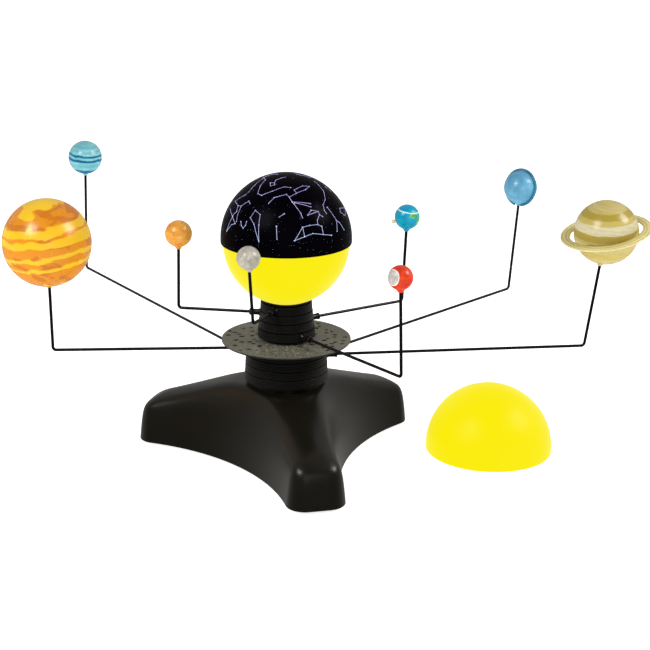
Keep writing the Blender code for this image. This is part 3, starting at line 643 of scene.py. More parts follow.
def arc(radius, start, end, steps, centre_z=0.0):
    angles = [start + (end - start) * i / steps for i in range(steps + 1)]
    return [(radius * cos(a), centre_z + radius * sin(a)) for a in angles]


def bend(start, corner, end, steps):
    """Points on the curve from start to end that is pulled towards the corner."""
    shares = [i / steps for i in range(steps + 1)]
    return [start * (1 - t) ** 2 + corner * 2 * t * (1 - t) + end * t * t for t in shares]


def fillet(corner, before, after, radius, steps):
    """Profile points that round the corner between two straight stretches."""
    corner, before, after = Vector(corner), Vector(before), Vector(after)
    start = corner + (before - corner).normalized() * radius
    end = corner + (after - corner).normalized() * radius
    return [tuple(point) for point in bend(start, corner, end, steps)]


def rounded(profile, radius, closed=False, steps=3):
    """The same profile with its corners rounded."""
    made = []
    count = len(profile)
    for i, corner in enumerate(profile):
        if not closed and i in (0, count - 1):
            made.append(tuple(corner))
            continue
        before, after = profile[i - 1], profile[(i + 1) % count]
        reach = min([radius] + [(Vector(near) - Vector(corner)).length / 2.2 for near in (before, after)])
        made += fillet(corner, before, after, reach, steps)
    return made


def tube(name, points, radius, skin, body, slot_name, *stands_for):
    """A wire along these points."""
    curve = bpy.data.curves.new(name, "CURVE")
    curve.dimensions = "3D"
    curve.bevel_depth = radius
    curve.bevel_resolution = 5
    curve.use_fill_caps = True
    spline = curve.splines.new("POLY")
    spline.points.add(len(points) - 1)
    for point, co in zip(spline.points, points):
        point.co = (*co, 1.0)
    curve.materials.append(skin)
    made = bpy.data.objects.new(name, curve)
    link(made)
    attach(made, body)
    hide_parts(*stands_for)
    return made


# ---------------------------------------------------------------- base

LEG_AZIMUTHS = (-78.5, 41.5, 161.5)
LEG_REACH = 133.0 * MM
LEG_HALF_WIDTH = 24.5 * MM
LEG_CORNER = 16.0 * MM
BAY_RADIUS = 57.0 * MM
NECK_RADIUS = 31.0 * MM
NECK_TOP_Z = 67.4 * MM
NECK_EDGE = 0.4 * MM
NECK_HOLE = 19.5 * MM
BASE_WALL = 2.4 * MM
SWITCH_WINDOW = (16.0 * MM, 11.0 * MM, 4.6 * MM)
# Side walls, in mm: (how far inside the floor outline, height there).
LEG_WALL = ((0.0, 0.6), (1.2, 13.0), (2.6, 24.0), (4.2, 33.0), (6.5, 42.0), (10.0, 54.0), (16.0, 72.0))
BAY_WALL = ((0.0, 0.6), (1.6, 15.0), (3.6, 29.0), (6.0, 38.0), (9.0, 45.0), (14.0, 54.0), (22.0, 67.0))
LEG_CROWN = 8.5 * MM
BAY_STEPS, CORNER_STEPS, END_STEPS = 26, 17, 3
EDGE_ROWS, EDGE_DEPTH, TOP_ROWS = 20, 8.0 * MM, 38
BLUR_REACH, BLUR_STEPS = 5.0 * MM, 6
CROWN_HALF = 27.0 * MM
FLANK_REACH = 95.0 * MM
SHOULDER_BLEND = 10.0 * MM
NECK_FOOT_Z = 65.2 * MM
NECK_BLEND = 3.0 * MM
LEG_TOP_Z = 67.9 * MM
LEG_FALL = 0.312


def leg_outline(fine=1):
    """Points and outward normals of three legs with rounded ends, which run tangent into concave bays."""
    corner = Vector((LEG_REACH - LEG_CORNER, LEG_CORNER - LEG_HALF_WIDTH))
    bay_way = Vector((cos(radians(60)), -sin(radians(60))))
    excess = LEG_CORNER - BAY_RADIUS
    distance = (corner.length_squared - excess**2) / (2 * (corner.dot(bay_way) + excess))
    centre = bay_way * distance
    rise = corner - centre
    start, end = atan2(-bay_way.y, -bay_way.x), atan2(rise.y, rise.x)
    bay_steps, corner_steps = BAY_STEPS * fine, CORNER_STEPS * fine
    half_leg = []
    for step in range(bay_steps):
        turn = start + (end - start) * step / bay_steps
        way = Vector((cos(turn), sin(turn)))
        half_leg.append((centre + way * (distance - BAY_RADIUS), -way))
    for step in range(corner_steps + 1):
        turn = (end - pi) * (1 - step / corner_steps)
        way = Vector((cos(turn), sin(turn)))
        half_leg.append((corner + way * LEG_CORNER, way))
    for step in range(1, END_STEPS):
        half_leg.append((Vector((LEG_REACH, corner.y * (1 - step / END_STEPS))), Vector((1.0, 0.0))))
    mirrored = [(Vector((p.x, -p.y)), Vector((n.x, -n.y))) for p, n in reversed(half_leg[1:])]
    outline = []
    for bearing in LEG_AZIMUTHS:
        turn = Matrix.Rotation(radians(bearing), 2)
        outline += [(turn @ p, turn @ n) for p, n in half_leg + mirrored]
    return outline


def soft_least(first, second, blend):
    """The smaller of the two, rounded over where they are close."""
    close = np.maximum(blend - abs(first - second), 0.0) / blend
    return np.minimum(first, second) - close * close * blend / 4


def foot_distance(spots, points):
    """How far each spot is from the floor outline, and the index of the outline's nearest point."""
    apart = np.hypot(spots[:, None, 0] - points[None, :, 0], spots[:, None, 1] - points[None, :, 1])
    nearest = apart.argmin(1)
    return apart[np.arange(len(spots)), nearest], nearest


def shell_heights(spots, points):
    """The housing's height over each spot: a crowned, sloping leg top, rounded over into the side wall."""
    depth, nearest = foot_distance(spots, points)
    foot_reach = np.linalg.norm(points[nearest], axis=1)
    bay_share = np.clip((FLANK_REACH - foot_reach) / (FLANK_REACH - BAY_RADIUS), 0.0, 1.0)
    leg, bay = (np.interp(depth, *(np.array(steps).T * MM)) for steps in (LEG_WALL, BAY_WALL))
    wall = leg * (1 - bay_share) + bay * bay_share
    radius = np.linalg.norm(spots, axis=1)
    crown = LEG_CROWN * np.maximum(1 - depth / CROWN_HALF, 0.0) ** 2
    slope = LEG_TOP_Z - LEG_FALL * (radius - NECK_RADIUS) - crown
    top = soft_least(np.full(len(spots), NECK_FOOT_Z), slope, NECK_BLEND)
    return np.maximum(soft_least(wall, top, SHOULDER_BLEND), LEG_WALL[0][1] * MM)


def soft_heights(spots, points):
    """The same height, evened out over a few millimetres wherever the floor edge is far enough away."""
    reach = np.minimum(BLUR_REACH, foot_distance(spots, points)[0] * 0.5)
    total = shell_heights(spots, points)
    for step in range(BLUR_STEPS):
        way = np.array(polar(1.0, 2 * pi * step / BLUR_STEPS).xy)
        for share in (0.5, 1.0):
            total = total + shell_heights(spots + way * (reach * share)[:, None], points)
    return total / (2 * BLUR_STEPS + 1)


def make_base(skin):
    outline = leg_outline()
    points = np.array([tuple(p) for p, _ in outline])
    normals = np.array([tuple(n) for _, n in outline])
    fine_points = np.array([tuple(p) for p, _ in leg_outline(2)])
    rows = [points - normals * depth for depth in np.linspace(0, 1, EDGE_ROWS) ** 1.3 * EDGE_DEPTH]
    edge = rows[-1]
    neck = edge / np.linalg.norm(edge, axis=1)[:, None] * NECK_RADIUS
    rows += [edge * (1 - share) + neck * share for share in np.linspace(0, 1, TOP_ROWS + 1)[1:]]
    rings = [[(*spot, z) for spot, z in zip(spots, soft_heights(spots, fine_points))] for spots in rows]
    neck_edge_z = NECK_TOP_Z - NECK_EDGE
    collar = ((NECK_RADIUS, neck_edge_z), (NECK_RADIUS - NECK_EDGE, NECK_TOP_Z), (NECK_HOLE, NECK_TOP_Z))
    for radius, z in collar:
        rings.append([(*(spot / NECK_RADIUS * radius), z) for spot in neck])
    shape = bmesh.new()
    made = [[shape.verts.new(co) for co in ring] for ring in rings]
    for lower, upper in zip(made, made[1:]):
        bridge(shape, lower, upper)
    mesh = mesh_from(shape, "base_shell", CREASE)
    shell = add_piece("base_shell", mesh, skin, "base", "base_plastic", "base_housing")
    wall = shell.modifiers.new("wall", "SOLIDIFY")
    wall.thickness = BASE_WALL
    wall.offset = -1.0
    cutter = switch_window()
    window = shell.modifiers.new("window", "BOOLEAN")
    window.operation = "DIFFERENCE"
    window.object = cutter
    graph = bpy.context.evaluated_depsgraph_get()
    cut = bpy.data.meshes.new_from_object(shell.evaluated_get(graph))
    shell.modifiers.clear()
    shell.data = cut
    smooth(cut, CREASE)
    bpy.data.objects.remove(cutter)


def switch_stand():
    """The switch's middle, turned so that +X points out of the bay."""
    low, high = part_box("power_switch")
    middle = (low + high) / 2
    return Matrix.Translation(middle) @ Matrix.Rotation(atan2(middle.y, middle.x), 4, "Z")


def switch_window():
    """The block that cuts the switch's window out of the housing."""
    shape = bmesh.new()
    bmesh.ops.create_cube(shape, size=1.0, matrix=Matrix.Diagonal((*SWITCH_WINDOW, 1.0)))
    cutter = bpy.data.objects.new("switch_window", mesh_from(shape, "switch_window", None))
    link(cutter)
    cutter.matrix_world = switch_stand()
    return cutter


# ---------------------------------------------------------------- column

TIER_LEVELS = ("neptune", "uranus", "saturn", "jupiter", "mars", "earth", "venus", "mercury")
STACK_TOPS = ("jupiter", "mercury")
BOSS_LENGTH = 9.0 * MM
BOSS_BORE, BOSS_RADIUS = 1.35 * MM, 2.55 * MM


def ring_radius(world):
    """The radius of a tier's round wall: its points that lie opposite the boss."""
    co = points_of(f"{world}_tier")
    boss = co[np.hypot(co[:, 0], co[:, 1]).argmax()][:2]
    behind = co[(co[:, :2] @ boss) < 0]
    return np.hypot(behind[:, 0], behind[:, 1]).max()


def tier_profile(radius, above, bottom, top):
    """A grooved sleeve, thin enough to lie on the tier's wall, that leans in to the next tier's radius."""
    height = top - bottom
    lean = min(0.5 * MM, max(0.0, radius - above) * 0.5)
    skin_out, groove, depth = 0.32 * MM, 0.38 * MM, 0.30 * MM
    chamfer, end_gap = 0.35 * MM, 0.02 * MM
    inner = radius - 0.35 * MM

    def outer(z):
        return radius + skin_out - lean * (z - bottom) / height

    profile = [(inner, top - end_gap), (outer(top) - chamfer, top), (outer(top), top - chamfer)]
    for share in (0.67, 0.36):
        middle = bottom + height * share
        profile += [
            (outer(middle + groove), middle + groove), (outer(middle) - depth, middle + groove * 0.35),
            (outer(middle) - depth, middle - groove * 0.35), (outer(middle - groove), middle - groove),
        ]
    profile += [(outer(bottom), bottom + chamfer), (outer(bottom) - chamfer, bottom)]
    return profile + [(inner, bottom + end_gap)]


def make_column(skin, boss_skin):
    radii = [ring_radius(world) for world in TIER_LEVELS]
    for level, world in enumerate(TIER_LEVELS):
        low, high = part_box(f"{world}_tier")
        above = radii[level] - 0.6 * MM if world in STACK_TOPS else radii[level + 1]
        profile = tier_profile(radii[level], above, low.z, high.z)
        mesh = turned_mesh(f"{world}_sleeve", profile, 128, closed=True)
        add_piece(f"{world}_sleeve", mesh, skin, HOME[f"{world}_tier"], "column_plastic")
        make_boss(world, radii[level], (low.z + high.z) / 2, boss_skin)


def make_boss(world, radius, z, skin):
    """A smooth socket round the CAD boss, with a rolled lip where the wire goes in."""
    azimuth = arm_azimuth(world)
    lip, foot = BOSS_RADIUS + 0.35 * MM, BOSS_RADIUS + 0.9 * MM
    end, sunk = BOSS_LENGTH + 0.2 * MM, -1.0 * MM
    profile = [
        (BOSS_BORE, end), (BOSS_RADIUS + 0.1 * MM, end), (lip, end - 0.4 * MM), (lip, end - 1.3 * MM),
        (BOSS_RADIUS, end - 1.8 * MM), (BOSS_RADIUS, 1.6 * MM), (foot, 0.0), (foot, sunk), (BOSS_BORE, sunk),
    ]
    mesh = turned_mesh(f"{world}_boss", rounded(profile, 0.25 * MM, closed=True, steps=2), 40, closed=True)
    lie = Matrix.Rotation(azimuth, 4, "Z") @ Matrix.Rotation(pi / 2, 4, "Y")
    stand = Matrix.Translation(polar(radius, azimuth, z)) @ lie
    add_piece(f"{world}_boss", mesh, skin, HOME[f"{world}_tier"], "column_plastic", matrix=stand)


DISC_HOLE, DISC_HUB = 16.3 * MM, 30.0 * MM
DISC_PLATE = 2.0 * MM
DISC_SIDES, DISC_ROWS = 420, 84
DISC_LIP = 0.35 * MM
FRONT_HALF = 0.75
PIT_FLOOR = -0.95 * MM


def scatter_rocks(rim):
    """Boulders and pits on the disc, one row each: x, y, size, height and turn."""
    dice = random.Random(7)
    rocks = []

    def scatter(count, sizes, lift, spread, front):
        """Boulders or pits of one kind, either on the side that faces the viewer at rest or off it."""
        made = 0
        while made < count:
            radius, turn = sqrt(dice.uniform(0.15, 0.95)) * rim, dice.uniform(0, 2 * pi)
            size = dice.uniform(*sizes) * MM
            x, y = radius * cos(turn), radius * sin(turn)
            is_front = abs((turn + pi / 2 + pi) % (2 * pi) - pi) < FRONT_HALF
            near = any(
                sqrt((x - rock[0]) ** 2 + (y - rock[1]) ** 2) < (size + rock[2]) * spread for rock in rocks
            )
            if radius + size > rim - 0.8 * MM or near or is_front != front:
                continue
            rocks.append((x, y, size, lift * dice.uniform(0.8, 1.1), dice.uniform(0, pi)))
            made += 1

    scatter(66, (1.8, 2.8), -1.1 * MM, 1.05, False)
    scatter(60, (0.6, 1.0), 0.45 * MM, 0.95, False)
    scatter(120, (0.6, 1.15), 0.6 * MM, 0.85, True)
    scatter(22, (0.9, 1.5), -0.9 * MM, 0.95, True)
    return np.array(rocks)


def rock_height(rocks, x, y):
    """How far the disc's surface stands above its plain, or below it in a pit."""
    dx, dy = x - rocks[:, 0], y - rocks[:, 1]
    c, s = np.cos(rocks[:, 4]), np.sin(rocks[:, 4])
    u, v = (dx * c + dy * s) / rocks[:, 2], (dy * c - dx * s) / (rocks[:, 2] * 0.75)
    bumps = rocks[:, 3] * np.clip(1 - u * u - v * v, 0, 1) ** 0.6
    return max(PIT_FLOOR, min(PLAIN_DROP, float(bumps.max() + bumps.min())))


def make_disc(skin):
    """The asteroid disc: a plate whose top is a field of boulders and pits."""
    low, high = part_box("asteroid_disc")
    rim, top = (high.x - low.x) / 2, high.z
    rocks = scatter_rocks(rim)
    shape = bmesh.new()
    rings = []
    for row in range(DISC_ROWS + 1):
        radius = DISC_HOLE + (rim - DISC_LIP - DISC_HOLE) * row / DISC_ROWS
        fade = min(1.0, (DISC_ROWS - row) / 3)
        ring = []
        for i in range(DISC_SIDES):
            spot = polar(radius, 2 * pi * i / DISC_SIDES)
            rise = rock_height(rocks, spot.x, spot.y) * fade
            ring.append(shape.verts.new((spot.x, spot.y, top - PLAIN_DROP + rise)))
        rings.append(ring)
    under = top - DISC_PLATE
    edge = (
        (rim - 0.08 * MM, top - 0.45 * MM), (rim, top - 0.75 * MM), (rim, under + 0.35 * MM),
        (rim - 0.3 * MM, under), (DISC_HUB, under), (DISC_HUB, low.z), (DISC_HOLE, low.z),
    )
    rings += [ring_at(shape, radius, z, DISC_SIDES) for radius, z in edge]
    for upper, lower in zip(rings, rings[1:] + rings[:1]):
        bridge_down(shape, upper, lower)
    mesh = mesh_from(shape, "asteroid_field", 55)
    add_piece("asteroid_field", mesh, skin, "base", "asteroid_grey", "asteroid_disc")


# ---------------------------------------------------------------- arms and worlds

def arm_azimuth(world):
    co = points_of(f"{world}_arm")
    level = co[co[:, 2] < co[:, 2].min() + 2.6 * MM]
    far = level[np.hypot(level[:, 0], level[:, 1]).argmax()]
    return atan2(far[1], far[0])


WIRE_RADIUS = 1.3 * MM
WIRE_BEND = 3.2 * MM


def stand_of(world):
    """A world's ball as centre and radius, the way its wire points into it, and the wire's top."""
    centre, radius = globe_of(world)
    co = points_of(f"{world}_arm")
    top = Vector(co[co[:, 2] > co[:, 2].max() - 0.9 * MM].mean(0))
    return centre, radius, (centre - top).normalized(), top


def make_arm(world, skin):
    _, _, upward, top = stand_of(world)
    co = points_of(f"{world}_arm")
    azimuth = arm_azimuth(world)
    outward = polar(1.0, azimuth)
    arm_z = co[:, 2].min() + WIRE_RADIUS
    start = polar((co[:, :2] @ np.array(outward[:2])).min(), azimuth, arm_z)
    corner = top - upward * ((top.z - arm_z) / upward.z)
    corner = polar(corner.xy.dot(outward.xy), azimuth, arm_z)
    upward = (top - corner).normalized()
    turn = bend(corner - outward * WIRE_BEND, corner, corner + upward * WIRE_BEND, 12)
    points = [start, start.lerp(corner, 0.5), *turn, corner.lerp(top, 0.5), top]
    tube(f"{world}_wire", points, WIRE_RADIUS, skin, HOME[f"{world}_arm"], "arm_wire", f"{world}_arm")


NECK_TIP_RADIUS = 2.2 * MM
NECK_LENGTH = 1.8 * MM
SOCKET_DEPTH = 2.8 * MM
GLOBE_WALL = 1.8 * MM
HOLLOW_FROM = 12.0 * MM


def make_globe(world, skin):
    """A smooth ball that narrows to a short neck round the wire."""
    centre, radius, upward, _ = stand_of(world)
    start = -acos(min(0.9, 4.6 * MM / radius))
    profile = arc(radius, pi / 2, start, 56)
    profile[0] = (0.0, radius)
    first = Vector(profile[-1])
    end = -radius - NECK_LENGTH
    pull = first + Vector((-cos(pi / 2 + start), -sin(pi / 2 + start))) * 2.0 * MM
    profile += [tuple(point) for point in bend(first, pull, Vector((NECK_TIP_RADIUS, end + 0.3 * MM)), 8)[1:]]
    bore = WIRE_RADIUS + 0.25 * MM
    profile += [(NECK_TIP_RADIUS - 0.3 * MM, end), (bore, end)]
    if radius > HOLLOW_FROM:
        inner = radius - GLOBE_WALL
        profile += [(bore, -inner), *arc(inner, -acos(bore / inner), pi / 2, 30)[1:-1], (0.0, inner)]
    else:
        profile += [(bore, -radius + SOCKET_DEPTH), (0.0, -radius + SOCKET_DEPTH)]
    mesh = turned_mesh(f"{world}_globe", profile, 96)
    place = Matrix.Translation(centre) @ upright_to(upward)
    add_piece(f"{world}_globe", mesh, skin, HOME[world], f"{world}_paint", world, matrix=place)
    return centre, radius, upward


def ring_lie(node, centre):
    """(radius, normal) of a planet's ring in the CAD."""
    co = points_of(node)
    normal = Vector(np.linalg.svd(co - co.mean(0))[2][2])
    return np.linalg.norm(co - np.array(centre), axis=1).max(), normal


# The ring's cross-section, as (share of the way out, share of the half thickness).
RING_HEIGHTS = (
    (0.0, 0.45), (0.16, 0.45), (0.20, 0.9), (0.34, 1.0), (0.36, 0.78), (0.40, 0.78), (0.42, 1.0), (0.58, 1.0),
    (0.60, 0.7), (0.64, 0.7), (0.66, 1.0), (0.80, 1.0), (0.82, 0.8), (0.85, 0.8), (0.87, 1.0), (0.97, 0.95),
    (1.0, 0.5),
)
RING_OPENING = 3.2 * MM
RING_OPENING_FROM = 0.62


def make_saturn_ring(centre, radius, skin):
    outer, normal = ring_lie("saturn_ring", centre)
    outer -= 0.02 * MM
    inner, half = radius + 0.12 * MM, 0.75 * MM
    top = [(inner + (outer - inner) * share, half * rise) for share, rise in RING_HEIGHTS]
    mesh = turned_mesh("saturn_rings", top + [(r, -z) for r, z in reversed(top)], 160, closed=True)
    for vertex in mesh.vertices:
        reach, turn = vertex.co.xy.length, atan2(vertex.co.y, vertex.co.x)
        side = max(0.0, abs(cos(turn)) - RING_OPENING_FROM) / (1 - RING_OPENING_FROM)
        vertex.co.xy *= 1 + RING_OPENING * side * (outer - reach) / (outer - inner) / reach
    place = Matrix.Translation(centre) @ upright_to(normal if normal.z > 0 else -normal)
    add_piece("saturn_rings", mesh, skin, HOME["saturn_ring"], "saturn_paint", "saturn_ring", matrix=place)


def make_uranus_ring(centre, radius, upward, skin):
    """A hoop with a gap where the wire comes in."""
    outer, normal = ring_lie("uranus_ring", centre)
    outer -= 0.05 * MM
    inner, half = radius + 0.1 * MM, 0.65 * MM
    section = [(inner, half * 0.6), (outer, half), (outer, -half), (inner, -half * 0.6)]
    profile = rounded(section, 0.5 * MM, closed=True)
    lie = upright_to(normal)
    down = lie.to_3x3().inverted() @ -upward
    gap_middle, gap_half, sides = atan2(down.y, down.x), 3.6 * MM / outer, 110
    shape = bmesh.new()
    rings = []
    for i in range(sides + 1):
        angle = gap_middle + gap_half + (2 * pi - 2 * gap_half) * i / sides
        rings.append([shape.verts.new(polar(r, angle, z)) for r, z in profile])
    for first, second in zip(rings, rings[1:]):
        bridge_down(shape, first, second)
    shape.faces.new(rings[0])
    shape.faces.new(list(reversed(rings[-1])))
    bmesh.ops.recalc_face_normals(shape, faces=shape.faces)
    mesh, place = mesh_from(shape, "uranus_hoop", 50), Matrix.Translation(centre) @ lie
    add_piece("uranus_hoop", mesh, skin, HOME["uranus_ring"], "uranus_paint", "uranus_ring", matrix=place)


def make_moon(earth_centre, earth_radius, skin):
    centre, radius = globe_of("moon")
    away = centre - earth_centre
    profile = arc(radius, pi / 2, -pi / 2 + 0.5, 22)
    profile[0] = (0.0, radius)
    foot, end = 1.35 * MM, earth_radius - away.length
    profile += [(foot, end + 0.35 * MM), (foot + 0.15 * MM, end + 0.05 * MM), (0.0, end + 0.05 * MM)]
    place = Matrix.Translation(centre) @ upright_to(away.normalized())
    mesh = turned_mesh("moon_ball", profile, 48)
    add_piece("moon_ball", mesh, skin, HOME["moon"], "moon_paint", "moon", matrix=place)


# ---------------------------------------------------------------- sun and domes

DOME_SKIRT = 3.0 * MM
DOME_WALL = 1.6 * MM
DOME_SIDES = 160
RIM_ROUND = 0.3 * MM
BOWL_RADIUS, BOWL_INNER, BOWL_LIP = 53.0 * MM, 51.4 * MM, 52.9 * MM
BOWL_HOLE = 16.0 * MM
STAR_LOW, STAR_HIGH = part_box("star_dome")
DOME_RADIUS = (STAR_HIGH.x - STAR_LOW.x) / 2
SUN_CENTRE_Z = STAR_LOW.z + DOME_SKIRT


def dome_profile(centre_z):
    inner = DOME_RADIUS - DOME_WALL
    outside = arc(DOME_RADIUS, pi / 2, 0, 60, centre_z)
    inside = arc(inner, 0, pi / 2, 40, centre_z)
    outside[0], inside[-1] = (0.0, centre_z + DOME_RADIUS), (0.0, centre_z + DOME_RADIUS - DOME_WALL)
    rim = centre_z - DOME_SKIRT
    outer_lip = [(DOME_RADIUS, rim + RIM_ROUND), (DOME_RADIUS - RIM_ROUND, rim)]
    inner_lip = [(inner + RIM_ROUND, rim), (inner, rim + RIM_ROUND)]
    return outside + outer_lip + inner_lip + inside


def make_domes(black, yellow):
    cap = turned_mesh("star_cap_shell", dome_profile(SUN_CENTRE_Z), DOME_SIDES)
    add_piece("star_cap_shell", cap, black, "star_cap", "star_black", "star_dome")
    low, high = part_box("spare_dome")
    place = Matrix.Translation(((low.x + high.x) / 2, (low.y + high.y) / 2, low.z))
    spare = turned_mesh("spare_shell", dome_profile(DOME_SKIRT), DOME_SIDES)
    # The spare dome takes the glowing finish as a painted glow: no lamp sits under it.
    spare = add_piece("spare_shell", spare, yellow, "spare_cap", "sun_yellow", "spare_dome", matrix=place)
    low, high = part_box("sun_lower_dome")
    rim_z, flange = high.z - DOME_SKIRT, (high.x - low.x) / 2
    lip = [(BOWL_INNER, high.z), (BOWL_LIP, high.z), (BOWL_LIP, rim_z), (flange, rim_z), (flange, rim_z - MM)]
    profile = rounded(lip, 0.25 * MM)[:-1] + [(flange, rim_z - 0.8 * MM), (flange - 0.2 * MM, rim_z - MM)]
    profile += arc(BOWL_RADIUS, radians(-1.6), -acos(BOWL_HOLE / BOWL_RADIUS), 46, rim_z)
    profile += arc(BOWL_INNER, -acos(BOWL_HOLE / BOWL_INNER), 0, 36, rim_z)
    bowl = turned_mesh("sun_bowl", profile, DOME_SIDES, closed=True)
    bowl = add_piece("sun_bowl", bowl, yellow, "base", "sun_yellow", "sun_lower_dome")
    for lit in (spare, bowl):
        lit.visible_glossy = False


# Star figures, as (bearing from the front, elevation) in degrees on the dome.
STAR_FIGURES = (
    ((-79, 70), (-60, 69), (-52, 61), (-43, 52), (-35, 51), (-22, 57), (-4, 63), (8, 62)),
    ((-4, 79), (-21, 76), (-30, 72), (-28, 68), (-37, 67), (-31, 63), (-24, 65), (-28, 68)),
    ((-21, 44), (-16, 50), (-9, 52), (0, 54), (4, 51), (7, 46), (15, 35), (16, 31)),
    ((4, 51), (15, 55), (32, 58), (45, 61), (32, 63), (13, 59), (15, 55)),
    ((7, 46), (29, 43)),
    ((10, 45), (28, 40)),
    ((22, 33), (27, 37), (35, 35), (22, 33)),
    ((35, 35), (35, 32), (38, 30)),
    ((35, 32), (31, 28), (30, 24)),
    ((7, 12), (15, 23), (22, 24), (30, 24), (34, 22), (34, 15), (43, 13)),
    ((7, 12), (16, 15), (24, 17), (34, 15)),
    ((15, 23), (16, 15)),
    ((-34, 36), (-27, 33), (-26, 24), (-24, 10), (-31, 24), (-37, 29), (-34, 36)),
    ((-7, 32), (-2, 35)),
    ((-9, 24), (-8, 13)),
    ((-47, 24), (-45, 21), (-42, 19), (-40, 22), (-40, 25)),
    ((-65, 12), (-59, 19), (-54, 21), (-63, 26), (-75, 30)),
    ((-63, 26), (-59, 31), (-62, 36), (-56, 37), (-49, 43), (-45, 41)),
    ((-62, 36), (-75, 38)),
    ((-56, 37), (-55, 29), (-53, 23)),
    ((-62, 26), (-65, 12)),
    ((-75, 38), (-64, 47), (-62, 51), (-80, 70), (-98, 77), (-68, 82)),
    ((75, 64), (64, 52), (53, 44), (45, 40), (43, 35), (44, 32)),
    ((49, 37), (54, 24), (51, 15)),
    ((54, 24), (58, 21), (62, 14)),
    ((89, 28), (70, 32), (67, 29), (74, 24), (89, 28)),
    ((79, 81), (88, 75), (89, 69)),
    ((83, 54), (83, 48)),
)
BACK_TURN = 180
LOOSE_STARS = 420
LINE_HALF = 0.15 * MM
LINE_STEP = 1.6 * MM
LINE_TOP = DOME_RADIUS + 0.035 * MM
DOT_TOP = DOME_RADIUS + 0.065 * MM
STAR_ROOT = DOME_RADIUS - 0.05 * MM
SUN_CENTRE = Vector((0, 0, SUN_CENTRE_Z))


def on_dome(bearing, elevation):
    rise = radians(elevation)
    return polar(DOME_RADIUS * cos(rise), radians(bearing) - pi / 2, SUN_CENTRE_Z + DOME_RADIUS * sin(rise))


def star_ribbon(shape, start, end):
    """A thin raised strip from star to star along the dome."""
    steps = max(2, int((end - start).length / LINE_STEP))
    corners = ((LINE_TOP, -1), (LINE_TOP, 1), (STAR_ROOT, 1), (STAR_ROOT, -1))
    rows = []
    for i in range(steps + 1):
        way = (start.lerp(end, i / steps) - SUN_CENTRE).normalized()
        side = way.cross(end - start).normalized() * LINE_HALF
        rows.append([shape.verts.new(SUN_CENTRE + way * reach + side * hand) for reach, hand in corners])
    for first, second in zip(rows, rows[1:]):
        bridge(shape, first, second)
    shape.faces.new(list(reversed(rows[0])))
    shape.faces.new(rows[-1])


def star_dot(shape, place, radius, sides=10):
    """A flat round star on the dome."""
    way = (place - SUN_CENTRE).normalized()
    flat = way.orthogonal().normalized()
    across = way.cross(flat)
    turns = [2 * pi * i / sides for i in range(sides)]
    spokes = [(flat * cos(turn) + across * sin(turn)) * radius for turn in turns]
    top = [shape.verts.new(SUN_CENTRE + way * DOT_TOP + spoke) for spoke in spokes]
    root = [shape.verts.new(SUN_CENTRE + way * STAR_ROOT + spoke) for spoke in spokes]
    shape.faces.new(top)
    shape.faces.new(list(reversed(root)))
    bridge(shape, root, top)


def make_stars(skin):
    """The see-through star figures and loose stars, front and back of the dome."""
    shape = bmesh.new()
    dice = random.Random(3)
    for turn in (0, BACK_TURN):
        for figure in STAR_FIGURES:
            places = [on_dome(bearing + turn, elevation) for bearing, elevation in figure]
            for start, end in zip(places, places[1:]):
                star_ribbon(shape, start, end)
            for place in places:
                star_dot(shape, place, dice.uniform(0.30, 0.52) * MM)
    for _ in range(LOOSE_STARS):
        bearing = dice.uniform(-180, 180)
        elevation = abs(dice.gauss(0.0, 30.0))
        if elevation < 84:
            star_dot(shape, on_dome(bearing, elevation - 1.0), dice.uniform(0.06, 0.12) * MM, sides=6)
    bmesh.ops.recalc_face_normals(shape, faces=shape.faces)
    add_piece("star_lines", mesh_from(shape, "star_lines", None), skin, "star_cap", "star_black")


def make_lamp_cup(skin):
    """The seat that carries the sun: a flared foot and a plug with the lamp's bore."""
    low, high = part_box("lamp_cup")
    outer, base, rim = (high.x - low.x) / 2, low.z, high.z
    flare, plug, well, bore = 17.5 * MM, 15.6 * MM, 13.6 * MM, 3.8 * MM
    floor = base + 1.4 * MM
    profile = [
        (plug, rim), (plug, base + 0.3 * MM), (flare, base + 0.5 * MM), (outer, base + 1.7 * MM),
        (outer, base), (bore, base), (bore, floor), (well, floor), (well, rim),
    ]
    mesh = turned_mesh("lamp_seat", rounded(profile, 0.3 * MM, closed=True), 96, closed=True)
    add_piece("lamp_seat", mesh, skin, "base", "column_plastic", "lamp_cup")


# ---------------------------------------------------------------- small pieces

def make_switch(skin):
    """A ridged slide button in place of the plain one."""
    shape = bmesh.new()
    deep, width, tall = 6.0 * MM, 5.0 * MM, 3.6 * MM
    ridge, ridge_width, pitch = 0.8 * MM, 0.6 * MM, 1.2 * MM
    set_back = Matrix.Translation((-0.06, 0, 0))
    body = Matrix.Diagonal((deep - ridge, width, tall, 1.0))
    bmesh.ops.create_cube(shape, size=1.0, matrix=body @ set_back)
    for i in range(4):
        place = Matrix.Translation((deep / 2 - 0.5 * MM, (i - 1.5) * pitch, 0.0))
        size = Matrix.Diagonal((ridge, ridge_width, tall, 1.0))
        bmesh.ops.create_cube(shape, size=1.0, matrix=place @ size)
    name, stand = "slide_button", switch_stand()
    mesh = mesh_from(shape, name, None)
    button = add_piece(name, mesh, skin, "switch_button", "inner_plastic", "power_switch", matrix=stand)
    bevel = button.modifiers.new("bevel", "BEVEL")
    bevel.width = 0.15 * MM
    bevel.segments = 2


